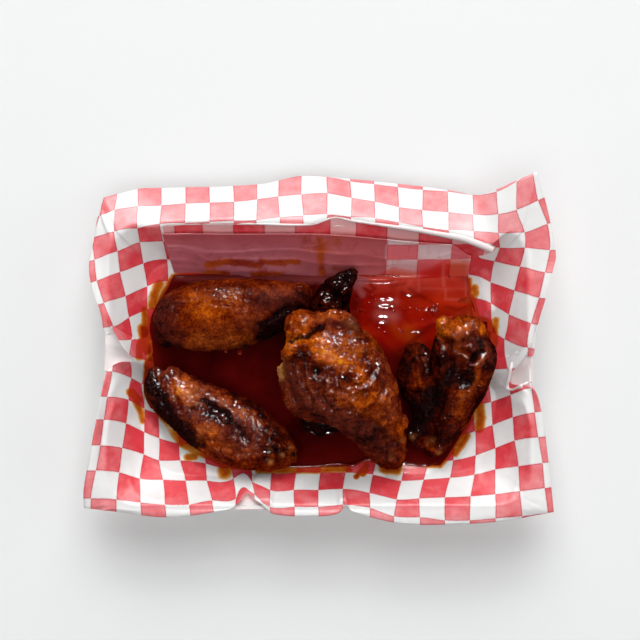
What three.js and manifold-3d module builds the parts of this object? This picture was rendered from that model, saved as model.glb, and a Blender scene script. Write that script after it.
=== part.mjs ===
// Chicken wings in hot sauce, served in a paperboard tray lined with checked paper.
// Millimetres. X runs along the tray, Y towards its back, Z up; the tray's underside is on Z = 0.
import * as THREE from 'three';
import Module from 'manifold-3d';

const wasm = await Module();
wasm.setup();

// Tray: a plain paperboard food tray with a hemmed rim
const TRAY_BASE_X = 82.5;
const TRAY_BASE_Y = 48.5;
const TRAY_RIM_X = 103;
const TRAY_RIM_Y = 68.4;
const TRAY_CORNER = 15;
const TRAY_HEIGHT = 28;
const BOARD = 0.9;
const HEM_DEPTH = 6;
const HEM_THICKNESS = 0.8;

// Liner: one sheet of food paper pressed into the tray, its cut edge standing past the rim
const PAPER = 0.8;
const LINER_FLOOR_X = 79;
const LINER_FLOOR_Y = 45;
const LINER_FLOOR_Z = 2.1;
const LINER_FOOT_CORNERS = [28, 34, 20, 20];
const LINER_RIM_X = 102.6;
const LINER_RIM_Y = 68;
const LINER_RIM_CORNER = 16;
const LINER_RIM_Z = 29.2;
const LINER_CREST_Z = 29.9;
const RIM_WIDTH = 2.4;
const WALL_SLACK = 1;

// Flap: the greasy back of the paper folded down over the rear wall
const FLAP_THICKNESS = 0.6;
const FLAP_GAP = 0.5;

// Sauce: a level pool in the bottom of the liner
const SAUCE_LEVEL = 7.5;
const GAP = 0.35;

// Stations round the sheet's cut edge: x, y and height, side by side from the front left corner
const EDGE_FRONT = [
  [-113.5, -69.6, 27], [-97, -71.5, 28], [-74, -74, 29], [-50, -71.5, 29], [-39, -67, 28],
  [-35, -60, 23], [-27.5, -66, 27], [-21.5, -72.5, 29], [1, -73.5, 30], [10, -72, 30],
  [13, -68.5, 28], [17, -71.5, 30], [39.5, -77, 29], [61, -77.5, 29], [88, -76, 28],
];
const EDGE_RIGHT = [
  [114, -71.5, 27], [111.5, -47, 29], [108, -22.5, 31], [104, -11.5, 31], [95, -9, 22],
  [94, -5, 22], [97.5, -0.5, 28], [102.5, 7, 32], [107, 20.5, 33], [110.5, 31, 33],
  [114.5, 45, 32], [116.5, 53.5, 31], [114, 70, 31], [111.5, 80.5, 32],
];
const EDGE_REAR = [
  [107.5, 94.5, 33], [96, 90, 31], [87.5, 86.5, 28], [80, 85, 22], [65, 89, 15],
  [40.5, 92.5, 13], [15.5, 95, 13], [-8, 96.5, 13], [-30.5, 92, 14], [-78.5, 90, 15], [-90, 89, 18],
];
const EDGE_LEFT = [
  [-107, 84, 21], [-109.5, 73, 24], [-111, 61.5, 26], [-112.5, 49, 29], [-111.5, 40, 30],
  [-107.5, 29, 31], [-100, 16.5, 32], [-94.5, 7.5, 32], [-90.5, 2, 25], [-97.5, 1, 28],
  [-102.5, -3, 30], [-105, -14, 33], [-107, -26.5, 34], [-109, -37, 33], [-113.5, -61, 29],
];
const EDGES = [EDGE_FRONT, EDGE_RIGHT, EDGE_REAR, EDGE_LEFT];

// Limbs of meat: stations of x, y, z, half width and half height along each one
const REAR_FLAT = [
  [-81, 22, 15, 4.5, 6], [-75, 23, 16, 12.5, 10.5], [-61.5, 24.5, 17, 17, 13], [-43, 26, 17.5, 17.5, 13.5],
  [-27, 29, 17, 15, 12.5], [-14, 32, 16.5, 10.5, 10.5], [-6.5, 34, 16, 5.5, 6.5],
];
const FRONT_FLAT = [
  [-83.5, -5, 17, 4, 6], [-78, -10, 16.5, 10.5, 9.5], [-67, -17.5, 16, 13.5, 12], [-52.5, -26.5, 16, 16.5, 13],
  [-38.5, -33.5, 15.5, 17, 12.5], [-26.5, -39, 15, 13.5, 11.5], [-17, -42.5, 14, 9, 9], [-12, -44, 13, 4, 5],
];
const CENTRE_DRUMETTE = [
  [-1, 21.5, 38, 7.5, 8], [1, 14, 39, 18, 14], [5, 2.5, 40, 23, 16.5], [12, -8, 39, 24, 16.5],
  [20.5, -17.5, 35, 20, 15], [27.5, -28.5, 27, 14.5, 12.5], [32.5, -38, 19, 11, 10], [37.5, -45.5, 14, 7.5, 7.5],
  [40, -48.5, 12.5, 3.5, 4.5],
];
const CENTRE_KNOB = [
  [-14, 22, 37, 3, 4], [-11.5, 20, 38, 7, 7.5], [-7.5, 17, 39, 9, 9.5], [-2, 12, 39, 9, 9], [3, 8, 39, 5, 5],
];
const RIGHT_DRUMETTE = [
  [76.5, 21, 26, 7, 6], [72.5, 13, 27, 14.5, 12], [70.5, 1.5, 27, 16.5, 14], [68.5, -11.5, 24, 13.5, 13],
  [65, -23, 19, 10, 11], [61, -34, 14, 7, 8], [58.5, -42, 12, 4, 5],
];
const RIGHT_LOBE = [
  [48, 10, 17, 5, 6], [49.5, 1, 17, 10.5, 11], [51, -9, 17, 11.5, 11.5], [53.5, -17.5, 16, 9, 10],
  [52.5, -26.5, 13, 6, 8], [50, -33, 12, 5, 7], [48.5, -38, 11, 2.5, 4],
];
const UNDER_FLAT = [
  [17, 47.5, 15, 3, 4], [13.5, 43.5, 14.5, 5.5, 6], [8.5, 37, 13.5, 8.5, 8], [5, 27, 12.5, 11, 9.5],
  [3, 8, 12, 12.5, 9], [2, -9, 11.5, 12.5, 8.5], [2, -24, 11, 11.5, 7.5], [2, -31.5, 11, 7.5, 5],
];

// Curve through four values, with the slopes taken over uneven steps
function hermite(before, from, to, after, stepBefore, step, stepAfter, t) {
  const slopeFrom = (to - before) / (stepBefore + step);
  const slopeTo = (after - from) / (step + stepAfter);
  const a = 2 * t ** 3 - 3 * t ** 2 + 1;
  const b = t ** 3 - 2 * t ** 2 + t;
  const c = 3 * t ** 2 - 2 * t ** 3;
  const d = t ** 3 - t ** 2;
  return a * from + b * slopeFrom * step + c * to + d * slopeTo * step;
}

// Point between two stations of a row of stations, every number of the station carried along
function between(rows, index, t) {
  const before = rows[Math.max(index - 1, 0)];
  const from = rows[index];
  const to = rows[index + 1];
  const after = rows[Math.min(index + 2, rows.length - 1)];
  const reach = (p, q) => Math.max(Math.hypot(q[0] - p[0], q[1] - p[1]), 0.001);
  const steps = [reach(before, from), reach(from, to), reach(to, after)];
  return from.map((value, i) => hermite(before[i], value, to[i], after[i], steps[0], steps[1], steps[2], t));
}

// Closed solid from a list of points and triangles
function solidOf(points, triangles) {
  const geometry = new THREE.BufferGeometry();
  geometry.setAttribute('position', new THREE.Float32BufferAttribute(points.flat(), 3));
  geometry.setIndex(triangles.flat());
  return geometry;
}

function toManifold(geometry) {
  const vertProperties = new Float32Array(geometry.getAttribute('position').array);
  const triVerts = new Uint32Array(geometry.getIndex().array);
  const mesh = new wasm.Mesh({ numProp: 3, vertProperties, triVerts });
  return new wasm.Manifold(mesh);
}

function fromManifold(manifold) {
  const mesh = manifold.getMesh();
  const geometry = new THREE.BufferGeometry();
  geometry.setAttribute('position', new THREE.Float32BufferAttribute(mesh.vertProperties, 3));
  geometry.setIndex(Array.from(mesh.triVerts));
  return geometry;
}

// Point of a rounded rectangle in the direction of a point of the unit square
function roundedPoint(halfX, halfY, radius, square) {
  const px = halfX * square[0];
  const py = halfY * square[1];
  const cx = Math.min(Math.max(px, radius - halfX), halfX - radius);
  const cy = Math.min(Math.max(py, radius - halfY), halfY - radius);
  const reach = Math.hypot(px - cx, py - cy);
  return [cx + (radius * (px - cx)) / reach, cy + (radius * (py - cy)) / reach];
}

// Unit square point for a side (front, right, rear, left) and a fraction along it
function squarePoint(side, fraction) {
  const run = 2 * fraction - 1;
  return [[run, -1], [1, run], [-run, 1], [-1, -run]][side];
}

// Solid from rings of equal count, each ring a closed loop, with a point closing either end
function ringSolid(rings, startPoint, endPoint) {
  const count = rings[0].length;
  const points = rings.flat();
  const triangles = [];
  for (let r = 0; r < rings.length - 1; r++) {
    for (let i = 0; i < count; i++) {
      const j = (i + 1) % count;
      const a = r * count + i;
      const b = r * count + j;
      triangles.push([a, b, b + count]);
      triangles.push([a, b + count, a + count]);
    }
  }
  const start = points.push(startPoint) - 1;
  const end = points.push(endPoint) - 1;
  const last = (rings.length - 1) * count;
  for (let i = 0; i < count; i++) {
    const j = (i + 1) % count;
    triangles.push([start, j, i]);
    triangles.push([end, last + i, last + j]);
  }
  return solidOf(points, triangles);
}

function roundedRing(halfX, halfY, radius, z) {
  const ring = [];
  const perSide = 16;
  for (let side = 0; side < 4; side++) {
    for (let i = 0; i < perSide; i++) {
      const [x, y] = roundedPoint(halfX, halfY, radius, squarePoint(side, i / perSide));
      ring.push([x, y, z]);
    }
  }
  return ring;
}

function trayRingAt(z, outward) {
  const t = z / TRAY_HEIGHT;
  const halfX = TRAY_BASE_X + (TRAY_RIM_X - TRAY_BASE_X) * t + outward;
  const halfY = TRAY_BASE_Y + (TRAY_RIM_Y - TRAY_BASE_Y) * t + outward;
  return roundedRing(halfX, halfY, TRAY_CORNER + outward, z);
}

function traySolid() {
  const hemZ = TRAY_HEIGHT - HEM_DEPTH;
  const rings = [
    trayRingAt(0, BOARD),
    trayRingAt(hemZ, BOARD),
    trayRingAt(hemZ + 0.01, BOARD + HEM_THICKNESS),
    trayRingAt(TRAY_HEIGHT, BOARD + HEM_THICKNESS),
    trayRingAt(TRAY_HEIGHT, 0),
    trayRingAt(BOARD, 0),
  ];
  return ringSolid(rings, [0, 0, 0], [0, 0, BOARD]);
}

// Stations along the whole cut edge: side, fraction along the side, then x, y and z
function edgeSpokes() {
  const spokes = [];
  EDGES.forEach((stations, side) => {
    const rows = [...stations, EDGES[(side + 1) % 4][0]];
    const axis = side % 2;
    const from = rows[0][axis];
    const to = rows[rows.length - 1][axis];
    for (let i = 0; i < rows.length - 1; i++) {
      const length = Math.hypot(rows[i + 1][0] - rows[i][0], rows[i + 1][1] - rows[i][1]);
      const steps = Math.max(2, Math.round(length / 6));
      for (let s = 0; s < steps; s++) {
        const point = between(rows, i, s / steps);
        const fraction = Math.min(Math.max((point[axis] - from) / (to - from), 0), 1);
        spokes.push({ side, fraction, edge: point });
      }
    }
  });
  return spokes;
}

function smoothstep(low, high, value) {
  const t = Math.min(Math.max((value - low) / (high - low), 0), 1);
  return t * t * (3 - 2 * t);
}

function lerpPoint(a, b, t) {
  return a.map((value, i) => value + (b[i] - value) * t);
}

// Radius of the foot of the liner's wall, larger at the front corners where the paper bridges
function footCorner(side, fraction) {
  const from = LINER_FOOT_CORNERS[side];
  const to = LINER_FOOT_CORNERS[(side + 1) % 4];
  return fraction < 0.5 ? from : to;
}

// The same point, raised where the paper would otherwise cut into the tray's wall or rim
function clearOfTray([x, y, z]) {
  const riseX = (Math.abs(x) - TRAY_BASE_X) / (TRAY_RIM_X - TRAY_BASE_X);
  const riseY = (Math.abs(y) - TRAY_BASE_Y) / (TRAY_RIM_Y - TRAY_BASE_Y);
  const rise = Math.max(riseX, riseY);
  if (rise < 0 || rise > 1.12) {
    return [x, y, z];
  }
  return [x, y, Math.max(z, TRAY_HEIGHT * Math.min(1.18 * rise, 1) + PAPER + 0.6)];
}

// Upper face of the liner along one spoke, from the foot of the wall out to the cut edge
function linerSpoke({ side, fraction, edge }) {
  const square = squarePoint(side, fraction);
  const foot = [...roundedPoint(LINER_FLOOR_X, LINER_FLOOR_Y, footCorner(side, fraction), square), LINER_FLOOR_Z];
  const rim = [...roundedPoint(LINER_RIM_X, LINER_RIM_Y, LINER_RIM_CORNER, square), LINER_RIM_Z];
  if (side === 2) {
    rim[2] = LINER_CREST_Z;
  }
  const dx = rim[0] - foot[0];
  const dy = rim[1] - foot[1];
  const run = Math.hypot(dx, dy);
  const beyond = ((edge[0] - rim[0]) * dx + (edge[1] - rim[1]) * dy) / run;
  const over = smoothstep(0.5, 4, beyond);
  const top = lerpPoint(lerpPoint(foot, edge, 0.7), rim, over);
  const past = [rim[0] + (dx / run) * RIM_WIDTH, rim[1] + (dy / run) * RIM_WIDTH, rim[2] + 0.1];
  const shoulder = lerpPoint(lerpPoint(foot, edge, 0.8), past, over);
  const middle = lerpPoint(foot, top, 0.5);
  middle[2] -= WALL_SLACK;
  const flare = lerpPoint(shoulder, edge, 0.5);
  flare[2] += 0.6;
  return [foot, middle, top, shoulder, flare, edge].map(clearOfTray);
}

function linerSolid(spokes) {
  const columns = spokes.map(linerSpoke);
  const ringCount = columns[0].length;
  const upper = [];
  const lower = [];
  for (let r = 0; r < ringCount; r++) {
    upper.push(columns.map((column) => column[r]));
    lower.push(columns.map((column) => [column[r][0], column[r][1], column[r][2] - PAPER]));
  }
  const rings = [...lower, ...upper.reverse()];
  return ringSolid(rings, [0, 0, LINER_FLOOR_Z - PAPER], [0, 0, LINER_FLOOR_Z]);
}

// Slow relief of the skin, different for every limb
function skinRelief(along, angle, seed) {
  const fold = Math.sin(along * 5.1 + seed * 2.3 + 1.6 * Math.sin(angle + seed));
  const swell = Math.sin(2 * angle + along * 2.7 + seed * 4.1);
  const pucker = Math.sin(3 * angle - along * 7.3 + seed * 1.7);
  return 1 + 0.03 * fold + 0.035 * swell + 0.02 * pucker;
}

// Closed limb of meat round a curved line of stations, grown outwards when asked
function limb(stations, seed, grow = 0) {
  const around = 16;
  const perStation = 2;
  const samples = [];
  for (let i = 0; i < stations.length - 1; i++) {
    for (let s = 0; s < perStation; s++) {
      samples.push(between(stations, i, s / perStation));
    }
  }
  samples.push(stations[stations.length - 1]);
  const axisAt = (i) => {
    const p = samples[Math.max(i - 1, 0)];
    const q = samples[Math.min(i + 1, samples.length - 1)];
    return new THREE.Vector3(q[0] - p[0], q[1] - p[1], q[2] - p[2]).normalize();
  };
  const rings = samples.map((sample, i) => {
    const axis = axisAt(i);
    const side = new THREE.Vector3(-axis.y, axis.x, 0).normalize();
    const up = new THREE.Vector3().crossVectors(axis, side);
    const ring = [];
    for (let k = 0; k < around; k++) {
      const angle = (2 * Math.PI * k) / around;
      const relief = skinRelief(i / (samples.length - 1), angle, seed);
      const w = (sample[3] * relief + grow) * Math.cos(angle);
      const h = (sample[4] * relief + grow) * Math.sin(angle);
      ring.push([
        sample[0] + side.x * w + up.x * h,
        sample[1] + side.y * w + up.y * h,
        sample[2] + side.z * w + up.z * h,
      ]);
    }
    return ring;
  });
  const tip = (i) => {
    const sample = samples[i];
    const reach = (i === 0 ? -1 : 1) * (0.45 * Math.min(sample[3], sample[4]) + grow);
    const axis = axisAt(i);
    return [sample[0] + axis.x * reach, sample[1] + axis.y * reach, sample[2] + axis.z * reach];
  };
  return toManifold(ringSolid(rings, tip(0), tip(samples.length - 1)));
}

function limbs(list, seed, grow = 0) {
  return list.map((stations, i) => limb(stations, seed + i * 0.7, grow)).reduce((a, b) => a.add(b));
}

// Pool of sauce: from just above the paper up to its level
function saucePool(spokes) {
  const levels = [LINER_FLOOR_Z + GAP, (LINER_FLOOR_Z + SAUCE_LEVEL) / 2 + GAP, SAUCE_LEVEL];
  const rings = levels.map((z) => spokes.map((spoke) => {
    const [foot, middle] = linerSpoke(spoke);
    const t = (z - LINER_FLOOR_Z) / (middle[2] - LINER_FLOOR_Z);
    const [x, y] = lerpPoint(foot, middle, t);
    const inset = 1 - 0.9 / Math.hypot(x, y);
    return [x * inset, y * inset, z];
  }));
  return toManifold(ringSolid(rings, [0, 0, levels[0]], [0, 0, SAUCE_LEVEL]));
}

// Flap of paper lying on the rear wall and running down under the food
function flapSolid() {
  const left = -71.5;
  const right = 70;
  const splay = 5.5;
  const columns = 24;
  const profile = [[41, 0.6], [48, 6.2], [55.5, 15.5], [61.5, 22.5], [64.4, 26.4]];
  const upper = [];
  const lower = [];
  for (let c = 0; c <= columns; c++) {
    const t = c / columns;
    const sag = 5 * smoothstep(0.45, 1, t);
    const wave = 0.25 * Math.sin(t * 19);
    profile.forEach(([y, rise], i) => {
      const x = left + (right - left) * t - (i / 4) * splay * (1 - t);
      const drop = (sag * i) / 4;
      const z = LINER_FLOOR_Z + FLAP_GAP + rise + wave * (i % 2);
      upper.push([x, y - drop, z + FLAP_THICKNESS - drop * 0.6]);
      lower.push([x, y - drop, z - drop * 0.6]);
    });
  }
  const rows = profile.length;
  const offset = upper.length;
  const triangles = [];
  const quad = (a, b, c, d) => {
    triangles.push([a, b, c]);
    triangles.push([a, c, d]);
  };
  for (let c = 0; c < columns; c++) {
    for (let r = 0; r < rows - 1; r++) {
      const a = c * rows + r;
      quad(a, a + rows, a + rows + 1, a + 1);
      quad(offset + a, offset + a + 1, offset + a + rows + 1, offset + a + rows);
    }
    const b = c * rows;
    quad(b, offset + b, offset + b + rows, b + rows);
    const t = b + rows - 1;
    quad(t, t + rows, offset + t + rows, offset + t);
  }
  for (let r = 0; r < rows - 1; r++) {
    quad(r, r + 1, offset + r + 1, offset + r);
    const e = columns * rows + r;
    quad(e, offset + e, offset + e + 1, e + 1);
  }
  return solidOf([...upper, ...lower], triangles);
}

const paperboard = new THREE.MeshStandardMaterial({ color: 0xe9e3da, roughness: 0.8 });
const linerPaper = new THREE.MeshStandardMaterial({ color: 0xe88288, roughness: 0.6 });
const greasyPaper = new THREE.MeshStandardMaterial({ color: 0x94505c, roughness: 0.35 });
const hotSauce = new THREE.MeshStandardMaterial({ color: 0x6e1206, roughness: 0.12 });
const glazedMeat = new THREE.MeshStandardMaterial({ color: 0x8a4318, roughness: 0.3 });

const part = new THREE.Group();

function addPiece(name, geometry, material) {
  const mesh = new THREE.Mesh(geometry, material.clone());
  mesh.name = name;
  part.add(mesh);
}

const spokes = edgeSpokes();
const flap = flapSolid();
const centre = limbs([CENTRE_DRUMETTE, CENTRE_KNOB], 3);
const centreGrown = limbs([CENTRE_DRUMETTE, CENTRE_KNOB], 3, GAP);
const under = limbs([UNDER_FLAT], 5).subtract(centreGrown);
const underGrown = limbs([UNDER_FLAT], 5, GAP);
const rear = limbs([REAR_FLAT], 1).subtract(centreGrown).subtract(underGrown);
const front = limbs([FRONT_FLAT], 2).subtract(centreGrown).subtract(underGrown);
const right = limbs([RIGHT_DRUMETTE, RIGHT_LOBE], 4).subtract(centreGrown);
const standing = [
  limbs([REAR_FLAT], 1, GAP),
  limbs([FRONT_FLAT], 2, GAP),
  limbs([RIGHT_DRUMETTE, RIGHT_LOBE], 4, GAP),
  centreGrown,
  underGrown,
].reduce((a, b) => a.add(b));
const pool = saucePool(spokes).subtract(standing).subtract(toManifold(flap));

addPiece('tray', traySolid(), paperboard);
addPiece('liner', linerSolid(spokes), linerPaper);
addPiece('rear_flap', flap, greasyPaper);
addPiece('sauce', fromManifold(pool), hotSauce);
addPiece('flat_rear', fromManifold(rear), glazedMeat);
addPiece('flat_front', fromManifold(front), glazedMeat);
addPiece('flat_under', fromManifold(under), glazedMeat);
addPiece('drumette_centre', fromManifold(centre), glazedMeat);
addPiece('drumette_right', fromManifold(right), glazedMeat);

export default part;
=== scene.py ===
"""Looks of a serving of chicken wings in hot sauce, in a paperboard tray lined with checked paper.

Lengths are written in millimetres and become metres where a mesh is made.
X runs along the tray, Y towards its back, Z up, and the tray's underside is on Z = 0.
"""
import math

import bpy
import numpy as np
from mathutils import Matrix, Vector
from mathutils.bvhtree import BVHTree


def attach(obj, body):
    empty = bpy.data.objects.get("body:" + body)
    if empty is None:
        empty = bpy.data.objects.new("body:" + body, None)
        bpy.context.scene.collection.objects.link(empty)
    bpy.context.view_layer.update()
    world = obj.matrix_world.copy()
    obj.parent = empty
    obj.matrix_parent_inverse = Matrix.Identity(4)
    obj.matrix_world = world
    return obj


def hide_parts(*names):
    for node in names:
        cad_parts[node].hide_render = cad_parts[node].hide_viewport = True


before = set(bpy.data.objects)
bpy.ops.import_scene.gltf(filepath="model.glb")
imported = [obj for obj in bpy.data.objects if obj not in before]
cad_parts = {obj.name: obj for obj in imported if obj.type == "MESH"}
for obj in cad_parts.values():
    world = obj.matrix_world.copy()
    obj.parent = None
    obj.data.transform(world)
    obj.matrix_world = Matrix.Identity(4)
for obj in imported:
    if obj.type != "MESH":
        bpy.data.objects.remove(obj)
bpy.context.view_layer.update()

MM = 0.001

# ---------------------------------------------------------------- sizes shared with the solids

# Tray: half length and half width at its foot and at its rim
TRAY_BASE = (82.5, 48.5)
TRAY_RIM = (103.0, 68.4)
TRAY_HEIGHT = 28.0

# Paper: thickness in the solids and here, then half sizes, corner radii and heights of its floor and rim
PAPER_SOLID = 0.8
PAPER = 0.3
FLOOR = (79.0, 45.0)
FLOOR_Z = 2.1
FOOT_CORNERS = (28.0, 34.0, 20.0, 20.0)
RIM = (102.6, 68.0)
RIM_CORNER = 16.0
RIM_Z = 29.2
CREST_Z = 29.9
RIM_WIDTH = 2.4
WALL_SLACK = 1.0
# The paper stays above the sauce up to this far outside the tray's foot
WALL_MARGIN = 6.0

# Sauce: height of its surface, and how much higher it clings to paper and meat
SAUCE_LEVEL = 7.5
LIP = 0.9

# Stations round the sheet's cut edge: x, y and height
EDGE_FRONT = [
    (-113.5, -69.6, 27), (-97, -71.5, 28), (-74, -74, 29), (-50, -71.5, 29), (-38.6, -67.3, 28), (-35, -62.7, 24.5),
    (-28.5, -67, 27.4), (-21.5, -72.5, 29), (1, -73.5, 30), (10, -72, 30), (13, -68.5, 28), (17, -71.5, 30),
    (39.5, -77, 29), (61, -77.5, 29), (88, -76, 28),
]
EDGE_RIGHT = [
    (114, -71.5, 27), (111.5, -47, 29), (108, -22.5, 31), (104, -11.5, 31), (95, -9, 22), (94, -5, 22),
    (97.5, -0.5, 28), (102.5, 7, 32), (107, 20.5, 33), (110.5, 31, 33), (114.5, 45, 32), (116.5, 53.5, 31),
    (114, 70, 31), (111.5, 80.5, 32),
]
EDGE_REAR = [
    (107.5, 94.5, 33), (96, 90, 31), (87.5, 86.5, 28), (80, 85, 22), (65, 89, 15), (40.5, 92.5, 13),
    (15.5, 95, 13), (-8, 96.5, 13), (-30.5, 92, 14), (-78.5, 90, 15), (-90, 89, 18),
]
EDGE_LEFT = [
    (-107, 84, 21), (-109.5, 73, 24), (-111, 61.5, 26), (-112.5, 49, 29), (-111.5, 40, 30), (-107.5, 29, 31),
    (-100, 16.5, 32), (-94.5, 7.5, 32), (-90.5, 2, 25), (-97.5, 1, 28), (-102.5, -3, 30), (-105, -14, 33),
    (-107, -26.5, 34), (-109, -37, 33), (-113.5, -61, 29),
]
EDGES = [EDGE_FRONT, EDGE_RIGHT, EDGE_REAR, EDGE_LEFT]

# Corners of the printed checks on the upper face, in plan: row, then column: (x, y)
PRINT_CORNERS = {
    0: {0: (-110, -65), 1: (-97.5, -65.5), 2: (-86, -67), 3: (-74, -68), 4: (-62.5, -68), 5: (-51.5, -66),
        6: (-40, -65), 6.5: (-35.9, -59.7), 7: (-31, -63), 8: (-23.5, -69), 9: (-11.5, -69), 10: (0, -69),
        11: (12, -68), 12: (25, -69.5), 13: (36.5, -73.5), 14: (49, -74), 15: (61, -75.5), 16: (73, -75.5),
        17: (85.5, -74.5), 18: (98.5, -73.5), 19: (111, -72)},
    1: {0: (-107.5, -51.5), 1: (-97, -52.5), 2: (-87.5, -55.5), 3: (-76.5, -56), 4: (-65.5, -56.5),
        5: (-55, -56.5), 6: (-42, -55.5), 6.5: (-37.3, -52.8), 7: (-32.6, -57), 8: (-23.5, -61), 9: (-12, -61),
        10: (0, -61), 11: (12, -60.5), 12: (25, -62.5), 13: (38, -65.5), 14: (49, -65), 15: (61.5, -64.5),
        16: (74, -64), 17: (86, -63), 18: (97.5, -61.5), 19: (109.5, -60)},
    2: {0: (-105.5, -39.5), 1: (-96, -40.5), 2: (-86.5, -43.5), 3: (-79, -46.5), 4: (-68.5, -46.5),
        5: (-56, -48), 6: (-43.5, -50), 9: (-11, -52.5), 10: (1, -52.5), 11: (13.5, -52.5), 12: (27, -53.5),
        13: (41, -56.5), 14: (52, -56), 15: (65, -55), 16: (77, -53.5), 17: (87, -51), 18: (97.5, -49.5),
        19: (108.5, -48)},
    3: {0: (-104, -27), 1: (-94.5, -28.5), 2: (-86.5, -32.5), 3: (-79, -35.5), 4: (-69.5, -38),
        15: (67, -46.5), 16: (78, -44), 17: (87.5, -40.5), 18: (96, -37), 19: (106.5, -35.5)},
    4: {0: (-102.5, -16), 1: (-93.5, -17), 2: (-86.5, -21), 3: (-80, -23.5), 16: (78, -32), 17: (86.5, -29),
        18: (95.5, -25.5), 19: (105, -23.5)},
    5: {0: (-100.5, -3.5), 1: (-92.5, -6), 2: (-88, -8.5), 17: (86, -17.5), 18: (94.5, -14.5),
        19: (103.5, -11.5)},
    7: {17: (87, 17.5), 18: (92.5, 13.5), 19: (102, 8)},
    8: {0: (-100.5, 18.5), 1: (-94, 24), 2: (-86, 29), 17: (86.5, 32), 18: (94.5, 25.5), 19: (104, 20)},
    9: {0: (-105, 30), 1: (-95.5, 34.5), 2: (-86, 40.5), 17: (86.5, 42.5), 18: (97, 37), 19: (108, 32.5)},
    10: {0: (-108.5, 41), 1: (-98, 46), 2: (-87.5, 51.5), 3: (-76, 54), 16: (76, 55), 17: (88, 52.5),
        18: (99.5, 48.5), 19: (111, 45)},
    11: {0: (-110, 51.5), 1: (-99, 56), 2: (-88.5, 61), 17: (90, 58.5), 18: (101.5, 57.5), 19: (113.5, 56)},
    12: {0: (-111.5, 63), 1: (-100.5, 65.5), 2: (-89, 67), 3: (-78, 69), 4: (-65.5, 69.5), 5: (-53.5, 70),
        6: (-41.5, 70.5), 7: (-30.5, 71), 8: (-19, 72.5), 9: (-7.5, 73.5), 11: (16, 72.5), 12: (28, 72),
        13: (39.5, 70), 14: (51.5, 67.5), 15: (64, 66), 16: (76.5, 65.5), 17: (88.5, 64.5), 18: (101.5, 65),
        19: (112.5, 69)},
    13: {0: (-108.5, 74), 1: (-101, 77), 2: (-89.5, 79), 3: (-78, 79.5), 4: (-66, 80.5), 5: (-54, 81),
        6: (-42, 81.5), 7: (-30.5, 83), 8: (-20, 84.5), 9: (-8.5, 85.5), 10: (4.5, 86), 11: (16.5, 83.5),
        12: (28, 81.5), 13: (40, 78.5), 14: (51.5, 77), 15: (64.5, 76), 16: (76.5, 74.5), 17: (88.5, 74),
        18: (97.5, 76), 19: (108, 80.5)},
    14: {0: (-107.5, 85), 1: (-100.5, 87), 2: (-90.5, 89.5), 3: (-79, 90.5), 4: (-67, 91), 5: (-55, 91),
        6: (-43, 91.5), 7: (-31, 93.5), 8: (-20, 95), 9: (-8.5, 96.5), 10: (4, 96), 11: (16, 93.5),
        12: (28, 92), 13: (40, 90.5), 14: (52.5, 89), 15: (65, 88), 16: (77, 85.5), 17: (88, 85.5),
        18: (97.5, 90), 19: (105.5, 94.5)},
}

# Where the sauce meets the paper, in plan
POOL_OUTLINE = [
    (-72.9, 46.8), (-76.9, 38.1), (-81.8, 31), (-84.3, 24.9), (-85.2, 18.9), (-83.6, 13.3), (-83.1, 7.8),
    (-85, 1.7), (-86.4, -5.3), (-84.8, -14.8), (-80.7, -22.3), (-73.1, -31.3), (-68.1, -37.8), (-57, -43.8),
    (-44, -49.2), (-34.1, -50), (-25.1, -49.7), (-9.2, -49.7), (12.3, -49.2), (26.7, -46.2), (33.2, -47.2),
    (44.6, -48.7), (60.6, -49.2), (64.1, -44.8), (67.2, -39.8), (70.7, -34.3), (76.3, -25.8), (77.4, -17.3),
    (85, -6.3), (88.2, 11.3), (87.8, 18.9), (85.4, 22.9), (79.8, 24.9), (77.9, 33), (75.9, 36.1), (75.4, 50),
]
# Drips and stains on the paper outside it: half width, strength and a line in plan
STAINS = [
    (3.4, 0.75, [(-46.5, -50.2), (-46.5, -52.2)]), (1.8, 0.7, [(-65, -45), (-61.5, -44.6)]),
    (1.5, 0.72, [(-90.5, -17.5), (-88.5, -22), (-87.3, -27)]), (1.9, 0.95, [(-92.5, -13), (-89.5, -16.5)]),
    (2.3, 0.74, [(-80, 42), (-82, 37), (-83.5, 31)]), (1.7, 0.75, [(-87.2, 29), (-86.5, 21)]),
    (2.4, 1.0, [(-87.5, 19), (-86.5, 13), (-85, 8)]), (1.6, 0.65, [(-89, 12), (-88.5, 4)]),
    (2.3, 0.75, [(80.2, -18), (80.8, -25), (80, -31)]), (1.7, 0.75, [(74, -34), (71, -39), (68, -43)]),
    (1.8, 0.7, [(78.5, 40), (79, 37)]), (1.8, 0.6, [(88.6, 23), (88.4, 20)]),
    (1.2, 0.95, [(24, -49), (21, -52), (18.6, -54.6)]), (1.1, 0.9, [(22, -53.5), (24, -51.5)]),
    (3.0, 0.75, [(33, -50), (39, -50.6)]), (0.7, 0.9, [(43.7, -52.6), (44, -52.6)]),
    (1.6, 0.72, [(-30, -51.2), (0, -51.4)]), (1.3, 0.72, [(0, -51.4), (16, -51)]),
    (2.4, 0.98, [(-72, 45), (-66, 46.5), (-48, 46.5)]),
]

# Inside the rear crest the paper is folded back and its checks run on their own: column and row edges
INNER_COLUMNS = (-86, -71, -57, -42, -26.5, -11.5, 6, 18.5, 34, 49.5, 66, 82, 98)
INNER_ROWS = (30, 43, 53.3, 59.5, 73)

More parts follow.
